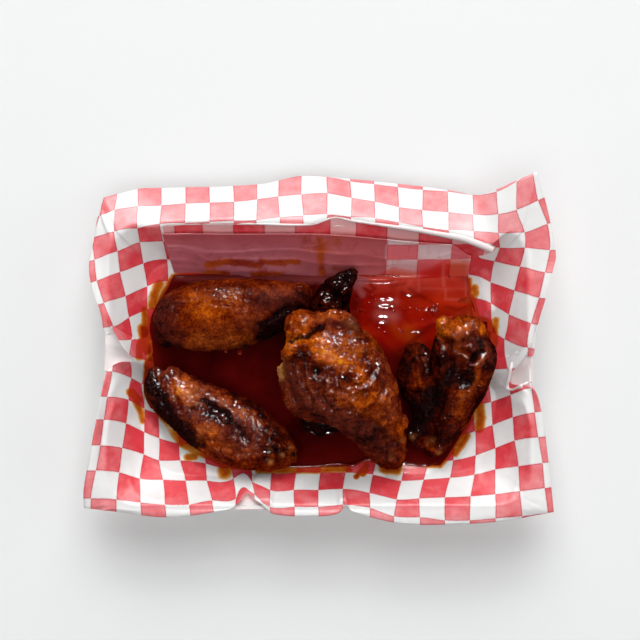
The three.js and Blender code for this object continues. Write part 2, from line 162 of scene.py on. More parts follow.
# Limbs of meat: stations of x, y, z, half width and half height, as in the solids
REAR_FLAT = [
    (-81, 22, 15, 4.5, 6), (-75, 23, 16, 12.5, 10.5), (-61.5, 24.5, 17, 17, 13), (-43, 26, 17.5, 17.5, 13.5),
    (-27, 29, 17, 15, 12.5), (-14, 32, 16.5, 10.5, 10.5), (-6.5, 34, 16, 5.5, 6.5),
]
FRONT_FLAT = [
    (-83.5, -5, 17, 4, 6), (-78, -10, 16.5, 10.5, 9.5), (-67, -17.5, 16, 13.5, 12),
    (-52.5, -26.5, 16, 16.5, 13), (-38.5, -33.5, 15.5, 17, 12.5), (-26.5, -39, 15, 13.5, 11.5),
    (-17, -42.5, 14, 9, 9), (-12, -44, 13, 4, 5),
]
CENTRE_DRUMETTE = [
    (-1, 21.5, 38, 7.5, 8), (1, 14, 39, 18, 14), (5, 2.5, 40, 23, 16.5), (12, -8, 39, 24, 16.5),
    (20.5, -17.5, 35, 20, 15), (27.5, -28.5, 27, 14.5, 12.5), (32.5, -38, 19, 11, 10),
    (37.5, -45.5, 14, 7.5, 7.5), (40, -48.5, 12.5, 3.5, 4.5),
]
CENTRE_KNOB = [
    (-14, 22, 37, 3, 4), (-11.5, 20, 38, 7, 7.5), (-7.5, 17, 39, 9, 9.5), (-2, 12, 39, 9, 9), (3, 8, 39, 5, 5),
]
RIGHT_DRUMETTE = [
    (76.5, 21, 26, 7, 6), (72.5, 13, 27, 14.5, 12), (70.5, 1.5, 27, 16.5, 14), (68.5, -11.5, 24, 13.5, 13),
    (65, -23, 19, 10, 11), (61, -34, 14, 7, 8), (58.5, -42, 12, 4, 5),
]
RIGHT_LOBE = [
    (48, 10, 17, 5, 6), (49.5, 1, 17, 10.5, 11), (51, -9, 17, 11.5, 11.5), (53.5, -17.5, 16, 9, 10),
    (52.5, -26.5, 13, 6, 8), (50, -33, 12, 5, 7), (48.5, -38, 11, 2.5, 4),
]
UNDER_FLAT = [
    (17, 47.5, 15, 3, 4), (13.5, 43.5, 14.5, 5.5, 6), (8.5, 37, 13.5, 8.5, 8), (5, 27, 12.5, 11, 9.5),
    (3, 8, 12, 12.5, 9), (2, -9, 11.5, 12.5, 8.5), (2, -24, 11, 11.5, 7.5), (2, -31.5, 11, 7.5, 5),
]


# ---------------------------------------------------------------- curves and noise

def smoothstep(low, high, value):
    t = np.clip((value - low) / (high - low), 0.0, 1.0)
    return t * t * (3.0 - 2.0 * t)


def hermite(t):
    """Shares of the start, its slope, the end and its slope in a smooth curve between two points."""
    return 2 * t ** 3 - 3 * t ** 2 + 1, t ** 3 - 2 * t ** 2 + t, 3 * t ** 2 - 2 * t ** 3, t ** 3 - t ** 2


def between(rows, index, t):
    """Point between two stations, with the slopes taken over uneven steps."""
    before = np.array(rows[max(index - 1, 0)], float)
    start = np.array(rows[index], float)
    end = np.array(rows[index + 1], float)
    after = np.array(rows[min(index + 2, len(rows) - 1)], float)
    steps = [max(math.hypot(*(b[:2] - a[:2])), 0.001) for a, b in ((before, start), (start, end), (end, after))]
    slope_start = (end - before) / (steps[0] + steps[1])
    slope_end = (after - start) / (steps[1] + steps[2])
    a, b, c, d = hermite(t)
    return a * start + b * slope_start * steps[1] + c * end + d * slope_end * steps[1]


def lattice(ix, iy, iz, seed):
    """Repeatable number from -1 to 1 for each whole place."""
    h = (ix * 73856093) ^ (iy * 19349663) ^ (iz * 83492791) ^ (seed * 2654435)
    h = (h & 0x7FFFFFFF) * 1103515245 & 0x7FFFFFFF
    h = (h ^ (h >> 15)) * 12345677 & 0x7FFFFFFF
    return ((h >> 8) & 0xFFFF) / 32767.5 - 1.0


def value_noise(points, seed):
    """Smooth noise from -1 to 1 at an array of points, one unit between its lattice values."""
    cell = np.floor(points).astype(np.int64)
    f = points - cell
    f = f * f * (3.0 - 2.0 * f)
    total = np.zeros(len(points))
    for dx in (0, 1):
        for dy in (0, 1):
            for dz in (0, 1):
                weight = np.abs(1 - dx - f[:, 0]) * np.abs(1 - dy - f[:, 1]) * np.abs(1 - dz - f[:, 2])
                total += weight * lattice(cell[:, 0] + dx, cell[:, 1] + dy, cell[:, 2] + dz, seed)
    return total


def fbm(points, size, octaves, seed):
    """Sum of ever finer noise."""
    total = np.zeros(len(points))
    amplitude = 1.0
    for octave in range(octaves):
        total += amplitude * value_noise(points / size * 2 ** octave + 17.3 * octave, seed + octave)
        amplitude *= 0.5
    return total


def ridged(points, size, seed):
    """Noise with sharp crests, from 0 to 1."""
    return 1.0 - np.abs(value_noise(points / size, seed))


def path_distance(xy, path):
    """Distance in plan from each point to a line through a few points."""
    best = np.full(len(xy), 1e9)
    for start, end in zip(path[:-1], path[1:]):
        a = np.array(start[:2], float)
        d = np.array(end[:2], float) - a
        t = np.clip(((xy - a) @ d) / max(d @ d, 1e-9), 0.0, 1.0)
        best = np.minimum(best, np.hypot(*(xy - a - t[:, None] * d).T))
    return best


def signed_distance(xy, outline):
    """Distance in plan from a closed outline, negative inside it."""
    inside = np.zeros(len(xy), bool)
    for (x1, y1), (x2, y2) in zip(outline, outline[1:] + outline[:1]):
        if y1 != y2:
            crossing = x1 + (xy[:, 1] - y1) / (y2 - y1) * (x2 - x1)
            inside ^= ((y1 > xy[:, 1]) != (y2 > xy[:, 1])) & (xy[:, 0] < crossing)
    away = path_distance(xy, outline + outline[:1])
    return np.where(inside, -away, away)


# ---------------------------------------------------------------- mesh helpers

def make_object(name, points, faces):
    """Smoothly shaded object from points in millimetres."""
    mesh = bpy.data.meshes.new(name)
    mesh.from_pydata([tuple(p) for p in np.asarray(points) * MM], [], faces)
    mesh.validate()
    mesh.update()
    mesh.polygons.foreach_set("use_smooth", [True] * len(mesh.polygons))
    obj = bpy.data.objects.new(name, mesh)
    bpy.context.scene.collection.objects.link(obj)
    return obj


def read_all(items, key, width, kind=float):
    """One property of all items of a mesh, a row of numbers each."""
    values = np.empty(len(items) * width, dtype=kind)
    items.foreach_get(key, values)
    return values.reshape(-1, width)


def points_of(obj):
    return read_all(obj.data.vertices, "co", 3) / MM


def normals_of(obj):
    return read_all(obj.data.vertices, "normal", 3)


def set_points(obj, points):
    obj.data.vertices.foreach_set("co", (points * MM).ravel())
    obj.data.update()


def paint(obj, name, values):
    """Store one number a point for the material to read."""
    layer = obj.data.attributes.new(name, "FLOAT", "POINT")
    layer.data.foreach_set("value", np.ascontiguousarray(values, dtype=np.float32))


def relax(obj, rounds):
    """Move every point halfway to the mean of its neighbours."""
    edges = read_all(obj.data.edges, "vertices", 2, np.int32)
    points = points_of(obj)
    count = np.bincount(edges.ravel(), minlength=len(points))[:, None]
    for _ in range(rounds):
        total = np.zeros_like(points)
        np.add.at(total, edges[:, 0], points[edges[:, 1]])
        np.add.at(total, edges[:, 1], points[edges[:, 0]])
        points = points + 0.5 * (total / count - points)
    set_points(obj, points)


def surface_tree(obj):
    """Search tree over an object's surface, in metres."""
    return BVHTree.FromObject(obj, bpy.context.evaluated_depsgraph_get())


def thickened(upper, *down):
    """Points of a sheet's upper face, and the same again lower down for its underside."""
    return np.concatenate([upper, upper - np.array(down)])


def disc_faces(rings, spokes):
    """Faces of a thickened sheet whose points are rings from the inside out and then the centre."""
    layer = rings * spokes + 1
    last = (rings - 1) * spokes
    faces = []
    for r in range(rings - 1):
        for i in range(spokes):
            j = (i + 1) % spokes
            a, b, c, d = r * spokes + i, r * spokes + j, (r + 1) * spokes + j, (r + 1) * spokes + i
            faces.append((a, d, c, b))
            faces.append((layer + a, layer + b, layer + c, layer + d))
    for i in range(spokes):
        j = (i + 1) % spokes
        faces.append((layer - 1, i, j))
        faces.append((2 * layer - 1, layer + j, layer + i))
        faces.append((last + i, layer + last + i, layer + last + j, last + j))
    return faces


def slab_faces(lines, across):
    """Faces of a thickened sheet whose points are lines side by side, each with the same number of points."""
    layer = lines * across
    faces = []
    for start in range(0, layer - across, across):
        for a in range(start, start + across - 1):
            b = a + across
            faces.append((a, b, b + 1, a + 1))
            faces.append((layer + a, layer + a + 1, layer + b + 1, layer + b))
        a, b = start, start + across
        faces.append((a, layer + a, layer + b, b))
        a, b = b - 1, b + across - 1
        faces.append((b, layer + b, layer + a, a))
    for a in range(across - 1):
        b = layer - across + a
        faces.append((a, a + 1, layer + a + 1, layer + a))
        faces.append((b, layer + b, layer + b + 1, b + 1))
    return faces


def tube_faces(rings, around, first=0):
    """Faces between rings of points that follow one another."""
    faces = []
    for low in range(first, first + (rings - 1) * around, around):
        for k in range(around):
            m = (k + 1) % around
            faces.append((low + k, low + m, low + around + m, low + around + k))
    return faces


def finish_piece(obj, material, slot, *nodes):
    """Give a piece its material and body, and hide the nodes of the solids that it replaces; the slot is not used."""
    obj.data.materials.clear()
    obj.data.materials.append(material)
    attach(obj, "root")
    if nodes:
        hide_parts(*nodes)


# ---------------------------------------------------------------- material helpers

def feed(tree, node, inputs):
    """Set a node's inputs; one that is given a socket is linked to it."""
    for key, value in inputs.items():
        if isinstance(value, bpy.types.NodeSocket):
            tree.links.new(value, node.inputs[key])
        else:
            node.inputs[key].default_value = value


def add(tree, kind, inputs=None, **settings):
    """New node with its settings and inputs."""
    node = tree.nodes.new(kind)
    for key, value in settings.items():
        setattr(node, key, value)
    feed(tree, node, inputs or {})
    return node


def new_material(name):
    """Material with its node tree, its shader, and the place on the object that its patterns are laid on."""
    material = bpy.data.materials.new(name)
    material.use_nodes = True
    tree = material.node_tree
    shader = next(n for n in tree.nodes if n.type == "BSDF_PRINCIPLED")
    return material, tree, shader, add(tree, "ShaderNodeTexCoord").outputs["Object"]


def srgb(*levels):
    """Colour from 0 to 255 as it looks on a screen, made linear."""
    return tuple((v / 255 / 12.92) if v < 11 else ((v / 255 + 0.055) / 1.055) ** 2.4 for v in levels)


def opaque(colour):
    """Four numbers for red, green and blue, or for one grey; a socket stays as it is."""
    if isinstance(colour, tuple):
        return (*colour, 1.0)
    return (colour, colour, colour, 1.0) if isinstance(colour, float) else colour


def mix(tree, share, under, over, blend="MIX"):
    """One colour or number laid over another by a share from 0 to 1."""
    inputs = {0: share, 6: opaque(under), 7: opaque(over)}
    return add(tree, "ShaderNodeMix", inputs, data_type="RGBA", blend_type=blend).outputs[2]


def maths(tree, operation, a, b=0.5, c=0.0, clamp=False):
    return add(tree, "ShaderNodeMath", {0: a, 1: b, 2: c}, operation=operation, use_clamp=clamp).outputs[0]


def ramp(tree, value, *stops):
    """Colour ramp; a stop is a place and a colour or a grey."""
    node = add(tree, "ShaderNodeValToRGB", {0: value})
    elements = node.color_ramp.elements
    while len(elements) > 1:
        elements.remove(elements[-1])
    for i, (place, colour) in enumerate(stops):
        element = elements[0] if i == 0 else elements.new(place)
        element.position = place
        element.color = opaque(colour)
    return node.outputs[0]


def attribute(tree, name):
    return add(tree, "ShaderNodeAttribute", attribute_name=name).outputs["Fac"]


def noise(tree, vector, scale, detail, roughness, distortion=0.0):
    inputs = {"Vector": vector, "Scale": scale, "Detail": detail, "Roughness": roughness, "Distortion": distortion}
    return add(tree, "ShaderNodeTexNoise", inputs).outputs["Fac"]


def varied(tree, base, pattern, amount, clamp=False):
    """A value raised and lowered by noise, whose middle of 0.5 leaves it as it is."""
    return maths(tree, "MULTIPLY_ADD", maths(tree, "SUBTRACT", pattern, 0.5), amount, base, clamp)


def tint(tree, name, strength, under, over):
    """A colour laid over another where a painted attribute says so."""
    return mix(tree, maths(tree, "MULTIPLY", attribute(tree, name), strength), under, over)


def bump(tree, height, strength, distance, normal=None):
    inputs = {"Height": height, "Strength": strength, "Distance": distance}
    if normal is not None:
        inputs["Normal"] = normal
    return add(tree, "ShaderNodeBump", inputs).outputs[0]


# ---------------------------------------------------------------- the sheet of paper

# Distance between spokes at the sheet's edge, and rings from its foot to its edge and inside its foot
SHEET_STEP = 1.3
SHEET_RINGS = 48
CENTRE_RINGS = 10
# The key of a spoke that lies on the rim, and the distance past it that stands for all of the sheet's middle
TOP_KEY = 2
FAR_INSIDE = -50.0
# Shares of the way from foot to edge where the paper would turn over if its edge lies inside the rim
INNER_TOP, INNER_SHOULDER = 0.7, 0.8
# Samples between two keys of a smooth line
SAMPLES = 8
# The paper keeps this far above the tray. The rim's outer edge lies at the first share, where 0 is the wall's foot
# and 1 is its top, and the wall is taken as steeper than it is by the second
CLEARANCE = 0.6
RIM_REACH = 1.12
WALL_BULGE = 1.18
# Plan coordinates are divided by this before the print's smooth map is solved, which keeps its numbers near 1
PLATE_SCALE = 100.0
PLATE_SMOOTHING = 2e-5
# Points along and across a web, round a roll, and along each kind of roll
WEB_LINES, WEB_ACROSS = 40, 12
ROLL_SIDES = 16
CREST_RINGS, PLEAT_RINGS, POOL_RIM_RINGS = 220, 60, 120


def rounded_point(half, radius, square):
    """A place on the edge of a square, moved to the same place on a rounded rectangle."""
    px, py = half[0] * square[0], half[1] * square[1]
    cx = min(max(px, radius - half[0]), half[0] - radius)
    cy = min(max(py, radius - half[1]), half[1] - radius)
    reach = math.hypot(px - cx, py - cy)
    return np.array([cx + radius * (px - cx) / reach, cy + radius * (py - cy) / reach])


def square_point(side, fraction):
    """Place on the edge of a square with corners at 1 and -1: front, right, rear and left side."""
    run = 2.0 * fraction - 1.0
    return ((run, -1.0), (1.0, run), (-run, 1.0), (-1.0, -run))[side]


def edge_spokes():
    """Points along the whole cut edge: side, fraction along it, and the point."""
    spokes = []
    for side, stations in enumerate(EDGES):
        rows = stations + [EDGES[(side + 1) % 4][0]]
        axis = side % 2
        first, last = rows[0][axis], rows[-1][axis]
        for i in range(len(rows) - 1):
            length = math.hypot(rows[i + 1][0] - rows[i][0], rows[i + 1][1] - rows[i][1])
            count = max(2, round(length / SHEET_STEP))
            for s in range(count):
                point = between(rows, i, s / count)
                fraction = min(max((point[axis] - first) / (last - first), 0.0), 1.0)
                spokes.append((side, fraction, point))
    return spokes


def clear_of_tray(point):
    """The same point, raised where the paper would otherwise cut into the tray's wall or rim."""
    rise = max((abs(point[k]) - TRAY_BASE[k]) / (TRAY_RIM[k] - TRAY_BASE[k]) for k in (0, 1))
    if 0.0 <= rise <= RIM_REACH:
        point[2] = max(point[2], TRAY_HEIGHT * min(WALL_BULGE * rise, 1.0) + PAPER_SOLID + CLEARANCE)
    return point


# Where the rear crest runs, from left to right: x, y and height
CREST = [(-90, 67, 29.4), (-77.9, 67.7, 29.8), (-74, 68.6, 29.9), (-63, 69.3, 29.9), (-34, 69.4, 29.9), (-4, 69, 30),
         (8.2, 72.5, 30.4), (15.6, 71, 30.3), (27.8, 69.4, 30.2), (45, 67.1, 30.1), (60, 64.8, 30.1), (72, 62.6, 30.2),
         (81.8, 59.2, 30.3), (86.5, 58, 30.4), (93, 60.5, 30.2)]
# The same fold seen as a thin roll: x, y, height of its middle, and radius
CREST_ROLL = [(-79, 67.4, 29.5, 0.25), (-74, 68.5, 29.7, 0.5), (-63, 69.2, 29.7, 0.6), (-34, 69.3, 29.7, 0.6),
              (-4, 68.9, 29.9, 0.6), (8.2, 72.4, 30.2, 0.6), (15.6, 70.9, 30.0, 0.6), (27.8, 69.1, 30.0, 0.7),
              (45, 66.7, 29.8, 1.1), (60, 64.1, 29.6, 1.4), (72, 61.7, 29.5, 1.8), (81.8, 58.0, 29.4, 1.9),
              (86, 56.2, 29.2, 1.7)]
# Curled edge of the pleat on the right: x, y, lift over the paper under it, and radius
PLEAT_ROLL = [(95.0, 1.2, 0.3, 0.5), (94.2, -2.0, 0.7, 1.0), (93.5, -6.5, 0.9, 1.1), (93.0, -11.0, 0.9, 1.1),
              (95.0, -12.0, 0.8, 1.15), (98.4, -10.8, 0.8, 1.1), (102.0, -9.2, 0.6, 0.9), (104.2, -8.4, 0.3, 0.5)]
# Paper tucked under each pleat, from the sheet's edge to the tray's rim: both borders, pinkness and sag
WEBS = {
    "left": ([(-101, 18.5, 30.6), (-94.2, 7.8, 30.8), (-90.1, 2, 24.3), (-97.3, 0.5, 27.4), (-102.2, -3.5, 29.2)],
             [(-104.4, 18.5, 29.6), (-104.4, 9, 29.4), (-104.3, 3, 29.0), (-104.3, 0, 28.9), (-104.3, -3.5, 28.9)],
             0.12, 0.5),
    "right": ([(104.4, -12, 29.9), (95.2, -9.5, 21.4), (93.6, -5, 21.2), (97, -0.2, 27.2), (102, 7.4, 30.8)],
              [(104.6, -12, 29.4), (104.5, -9, 29.0), (104.4, -4, 28.9), (104.4, 1, 29.0), (104.4, 7.4, 29.6)],
              0.25, 1.0),
    "front": ([(-40.5, -68.6, 28.0), (-38, -66.8, 27.0), (-35, -62.3, 23.6), (-28.9, -66.6, 26.4), (-24, -70.2, 28.0)],
              [(-40.5, -70.2, 28.6), (-38, -70.2, 28.6), (-34, -70.2, 28.6), (-28.9, -70.2, 28.6), (-24, -70.4, 28.6)],
              0.6, 1.6),
}


def rim_point(side, square):
    """Where the paper passes over the tray's rim; at the back it follows the crest."""
    rim = np.append(rounded_point(RIM, RIM_CORNER, square), CREST_Z if side == 2 else RIM_Z)
    if side == 2:
        path = np.array(CREST)
        blend = smoothstep(-92, -80, rim[0]) * (1.0 - smoothstep(82, 99, rim[0]))
        for k in (1, 2):
            rim[k] += blend * (np.interp(rim[0], path[:, 0], path[:, k]) - rim[k])
    return rim


def spoke_points(side, fraction, edge):
    """Upper face along one spoke: foot, middle, top, shoulder, flare and edge."""
    square = square_point(side, fraction)
    corner = FOOT_CORNERS[side] if fraction < 0.5 else FOOT_CORNERS[(side + 1) % 4]
    foot = np.append(rounded_point(FLOOR, corner, square), FLOOR_Z)
    rim = rim_point(side, square)
    run = rim[:2] - foot[:2]
    length = math.hypot(*run)
    beyond = float((edge[:2] - rim[:2]) @ run) / length
    over = smoothstep(0.5, 4.0, beyond)
    inner_top = foot + INNER_TOP * (edge - foot)
    inner_shoulder = foot + INNER_SHOULDER * (edge - foot)
    past = rim + np.append(run / length * RIM_WIDTH, 0.1)
    top = inner_top + over * (rim - inner_top)
    shoulder = inner_shoulder + over * (past - inner_shoulder)
    middle = (foot + top) / 2 - np.array([0, 0, WALL_SLACK])
    flare = (shoulder + edge) / 2 + np.array([0, 0, 0.6])
    return [clear_of_tray(p) for p in (foot, middle, top, shoulder, flare, np.array(edge))]


def smooth_profile(keys, count):
    """Evenly spaced points along a smooth line through the keys, and the distance along it of points and keys."""
    dense = []
    for i in range(len(keys) - 1):
        before, start = keys[max(i - 1, 0)], keys[i]
        end, after = keys[i + 1], keys[min(i + 2, len(keys) - 1)]
        gap = np.linalg.norm(end - start)
        slope_start = (end - before) / (np.linalg.norm(start - before) + 1e-6 + gap) * gap
        slope_end = (after - start) / (np.linalg.norm(after - end) + 1e-6 + gap) * gap
        for s in range(SAMPLES):
            a, b, c, d = hermite(s / SAMPLES)
            dense.append(a * start + b * slope_start + c * end + d * slope_end)
    dense.append(keys[-1])
    dense = np.array(dense)
    reach = np.concatenate([[0.0], np.cumsum(np.linalg.norm(np.diff(dense, axis=0), axis=1))])
    share = np.linspace(0.0, 1.0, count)
    points = np.stack([np.interp(share * reach[-1], reach, dense[:, k]) for k in range(3)], axis=1)
    return points, share * reach[-1], reach[::SAMPLES]


def sheet_grid():
    """Upper face of the paper as a grid of spokes by rings, how far each point is past the rim, and its side."""
    places, beyond, sides = [], [], []
    for side, fraction, station in edge_spokes():
        points, reach, marks = smooth_profile(spoke_points(side, fraction, station), SHEET_RINGS)
        places.append(points)
        beyond.append(reach - marks[TOP_KEY])
        sides.append(side)
    return np.array(places), np.array(beyond), np.array(sides)


def thin_plate(corners):
    """Smooth map from plan to the print's column and row, through the measured corners of the checks."""
    xy = np.array([place for row in corners.values() for place in row.values()], float) / PLATE_SCALE
    table = np.array([(u, v) for v, row in corners.items() for u in row], float)

    def kernel(a, b):
        r2 = ((a[:, None, :] - b[None, :, :]) ** 2).sum(axis=2)
        return 0.5 * r2 * np.log(np.maximum(r2, 1e-12))

    count = len(xy)
    system = np.zeros((count + 3, count + 3))
    system[:count, :count] = kernel(xy, xy) + PLATE_SMOOTHING * np.eye(count)
    system[:count, count:] = np.column_stack([np.ones(count), xy])
    system[count:, :count] = system[:count, count:].T
    weights = np.linalg.solve(system, np.concatenate([table, np.zeros((3, 2))]))

    def at(points):
        q = points[:, :2] / PLATE_SCALE
        return kernel(q, xy) @ weights[:count] + np.column_stack([np.ones(len(q)), q]) @ weights[count:]

    return at


def inner_print(points):
    """Column and row of the print on the paper folded back inside the rear crest."""
    return np.column_stack([np.interp(points[:, 0], INNER_COLUMNS, range(1, len(INNER_COLUMNS) + 1)),
                            np.interp(points[:, 1], INNER_ROWS, range(len(INNER_ROWS)))])


def inside_crest(points, depth):
    """Distance inside the region of that print, negative outside it."""
    x, y = points[:, 0], points[:, 1]
    left = x + 76.3 - (65.8 - y) * 0.214
    right = np.maximum(75.7 - x, y - 53.5 - 0.3 * (x - 75.9))
    return np.clip(np.minimum.reduce([depth, left, right, 88.0 - x, y - 33.0]), -5.0, 5.0)


def crumple(points):
    """Fine creases of handled paper: slow dents with a few sharp lines in them."""
    slow = fbm(points, 26.0, 2, 11)
    lines = ridged(points * np.array([1.0, 0.6, 1.0]), 17.0, 23) ** 8
    fine = ridged(points, 7.0, 37) ** 6
    return 0.35 * slow + 0.45 * lines + 0.18 * fine + 0.10 * fbm(points * np.array([1.0, 0.7, 1.0]), 5.0, 2, 41)


def build_sheet():
    """The loose sheet, and the grid of its upper face for the sauce to meet."""
    places, beyond, sides = sheet_grid()
    spokes, rings = places.shape[:2]
    flat = places.reshape(-1, 3)
    reach = np.tile(np.linspace(0, 1, rings), spokes)
    flat[:, 2] += crumple(flat) * smoothstep(0.05, 0.4, reach)
    outside = signed_distance(flat[:, :2], POOL_OUTLINE)
    basin = (np.abs(flat[:, 0]) < TRAY_BASE[0] + WALL_MARGIN) & (np.abs(flat[:, 1]) < TRAY_BASE[1] + WALL_MARGIN)
    lifted = np.maximum(flat[:, 2], SAUCE_LEVEL + LIP + 0.6 * np.minimum(outside, 6.0))
    flat[:, 2] = np.where(basin, lifted, flat[:, 2])
    centre = np.array([0.0, 0.0, FLOOR_Z])
    rows = [centre + ring / CENTRE_RINGS * (places[:, 0] - centre) for ring in range(1, CENTRE_RINGS)]
    rows += [places[:, r] for r in range(rings)]
    inner_count = spokes * (CENTRE_RINGS - 1)
    beyond = np.concatenate([np.full(inner_count, FAR_INSIDE), beyond.T.ravel(), [FAR_INSIDE]])
    rear = np.append(np.tile(sides == 2, len(rows)), True)
    upper = np.concatenate(rows + [[centre]])
    points = thickened(upper, 0, 0, PAPER)
    obj = make_object("liner_sheet", points, disc_faces(len(rows), spokes))
    store_print(obj, "print", thin_plate(PRINT_CORNERS)(points))
    store_print(obj, "print_inside", inner_print(points))
    outside = signed_distance(upper[:, :2], POOL_OUTLINE)
    fringe = 0.4 + 0.9 * value_noise(upper / 7.0, 401)
    stain = 0.95 * (1.0 - smoothstep(-0.6, 2.2, outside - fringe)) * (upper[:, 1] < 45)
    for width, strength, path in STAINS:
        away = path_distance(upper[:, :2], path)
        stain = np.maximum(stain, strength * (1.0 - smoothstep(0.3 * width, 1.7 * width, away)))
    # Pale: the ink is washed paler higher up the walls and most on the rear flare, a painted sheen where the light
    # falls strongest
    pale = 0.20 * smoothstep(16, 28, upper[:, 2]) + np.where(rear, 0.5, 0.22) * smoothstep(-0.5, 2.5, beyond)
    paint(obj, "inside", np.tile(inside_crest(upper, np.where(rear, -beyond, -9.0)), 2))
    paint(obj, "pale", np.tile(pale, 2))
    paint(obj, "stain", np.tile(stain, 2))
    return obj, places


def store_print(obj, name, table):
    """Keep a column and row of the print for every point."""
    corners = read_all(obj.data.loops, "vertex_index", 1, np.int32)[:, 0]
    uv = obj.data.uv_layers.new(name=name)
    uv.data.foreach_set("uv", np.ascontiguousarray(table[corners], dtype=np.float32).ravel())


def build_roll(name, stations, count):
    """Rolled edge of the paper along stations of x, y, z and radius."""
    path = [np.array(p, float) for p in stations]
    line, reach, marks = smooth_profile([p[:3] for p in path], count)
    radius = np.interp(reach, marks, [p[3] for p in path])
    points = []
    for i, place in enumerate(line):
        along = line[min(i + 1, len(line) - 1)] - line[max(i - 1, 0)]
        along /= np.linalg.norm(along)
        side = np.array([-along[1], along[0], 0.0])
        for k in range(ROLL_SIDES):
            angle = 2 * math.pi * k / ROLL_SIDES
            flat_share = 1.0 if math.sin(angle) > 0 else 0.6
            points.append(place + radius[i] * (side * math.cos(angle) + np.array([0, 0, flat_share * math.sin(angle)])))
    faces = tube_faces(len(line), ROLL_SIDES)
    faces.append(tuple(reversed(range(ROLL_SIDES))))
    faces.append(tuple(range(len(points) - ROLL_SIDES, len(points))))
    obj = make_object(name, np.array(points), faces)
    mark_plain(obj, 0.2)
    return obj


def mark_plain(obj, pink):
    """Paper without print, with a share of the ink on its far side showing through."""
    count = len(obj.data.vertices)
    paint(obj, "plain", np.ones(count))
    paint(obj, "inside", np.full(count, -1.0))
    paint(obj, "pink", np.full(count, pink))


def resting(stations, objects):
    """Stations of x, y, lift and radius as x, y, z and radius, laid on the highest of the objects."""
    trees = [surface_tree(obj) for obj in objects]
    rows = []
    for x, y, lift, radius in stations:
        hits = [tree.ray_cast(Vector((x * MM, y * MM, 0.1)), Vector((0, 0, -1)))[0] for tree in trees]
        rows.append((x, y, max(hit.z for hit in hits if hit) / MM + lift, radius))
    return rows


def build_web(name, inner, outer, pink, sag):
    """Sagging sheet between two borders."""
    inner, outer = [smooth_profile([np.array(p, float) for p in border], WEB_LINES)[0] for border in (inner, outer)]
    upper = []
    for a, b in zip(inner, outer):
        for k in range(WEB_ACROSS):
            t = k / (WEB_ACROSS - 1)
            upper.append(a + t * (b - a) - np.array([0, 0, sag * math.sin(math.pi * t)]))
    upper = np.array(upper)
    upper[:, 2] += 0.25 * fbm(upper, 5.0, 2, 97)
    obj = make_object(name, thickened(upper, 0, 0, PAPER), slab_faces(WEB_LINES, WEB_ACROSS))
    mark_plain(obj, pink)
    return obj


# ---------------------------------------------------------------- meat

# Size of the skin's grid, and points round a limb and between two of its stations before it is merged
VOXEL = 0.42
LIMB_SIDES = 40
LIMB_SAMPLES = 6
# How far a limb's tip stands out, as a share of its last half width
LIMB_TIP = 0.45
# Height of the finest relief
ROUGHNESS = 0.02


def limb_mesh(stations):
    """Points and faces of a closed limb round a curved line of stations."""
    samples = []
    for i in range(len(stations) - 1):
        samples += [between(stations, i, s / LIMB_SAMPLES) for s in range(LIMB_SAMPLES)]
    samples.append(np.array(stations[-1], float))
    samples = np.array(samples)
    angles = np.arange(LIMB_SIDES) * 2 * math.pi / LIMB_SIDES
    points = []
    for i, sample in enumerate(samples):
        axis = samples[min(i + 1, len(samples) - 1), :3] - samples[max(i - 1, 0), :3]
        axis /= np.linalg.norm(axis)
        side = np.array([-axis[1], axis[0], 0.0])
        side /= np.linalg.norm(side)
        up = np.cross(axis, side)
        for angle in angles:
            points.append(sample[:3] + side * sample[3] * math.cos(angle) + up * sample[4] * math.sin(angle))
        if i == 0:
            start = sample[:3] - axis * LIMB_TIP * min(sample[3:5])
        end = sample[:3] + axis * LIMB_TIP * min(sample[3:5])
    faces = tube_faces(len(samples), LIMB_SIDES)
    tip = len(points)
    last = tip - LIMB_SIDES
    for k in range(LIMB_SIDES):
        m = (k + 1) % LIMB_SIDES
        faces.append((tip, m, k))
        faces.append((tip + 1, last + k, last + m))
    return points + [start, end], faces


def knob(x, y, z, radius, height=None):
    """Short round limb, for a joint end or a lump of skin."""
    tall = height or radius
    return [(x - 0.6 * radius, y, z, 0.75 * radius, 0.75 * tall), (x, y, z, radius, tall),
            (x + 0.6 * radius, y, z, 0.75 * radius, 0.75 * tall)]


def merged_limbs(name, limbs, rounds):
    """One skin over all the limbs."""
    points, faces = [], []
    for stations in limbs:
        limb_points, limb_faces = limb_mesh(stations)
        offset = len(points)
        points += limb_points
        faces += [tuple(i + offset for i in f) for f in limb_faces]
    rough = make_object(name + "_rough", np.array(points), faces)
    modifier = rough.modifiers.new("skin", "REMESH")
    modifier.mode = "VOXEL"
    modifier.voxel_size = VOXEL * MM
    modifier.use_smooth_shade = True
    depsgraph = bpy.context.evaluated_depsgraph_get()
    mesh = bpy.data.meshes.new_from_object(rough.evaluated_get(depsgraph))
    mesh.name = name
    obj = bpy.data.objects.new(name, mesh)
    bpy.context.scene.collection.objects.link(obj)
    bpy.data.objects.remove(rough)
    mesh.polygons.foreach_set("use_smooth", [True] * len(mesh.polygons))
    relax(obj, rounds)
    return obj


def blobs(points, spots):
    """Sum of soft round spots, each x, y, z, radius and strength."""
    total = np.zeros(len(points))
    for x, y, z, radius, strength in spots:
        d = np.linalg.norm((points - np.array([x, y, z])) * np.array([1, 1, 0.6]), axis=1)
        total += strength * np.exp(-(d / radius) ** 2)
    return total


def warped(points, size, amount, seed):
    """Points pushed about by slow noise, so that what is drawn on them runs in curves."""
    push = np.column_stack([value_noise(points / size, seed + k) for k in range(3)])
    return points + amount * push


def strokes(points, rows):
    """Strongest of some soft strokes seen from above, each a half width, a strength and a line in plan."""
    total = np.zeros(len(points))
    for width, strength, path in rows:
        away = path_distance(points[:, :2], path + path[-1:])
        total = np.maximum(total, strength * np.exp(-(away / width) ** 2))
    return total


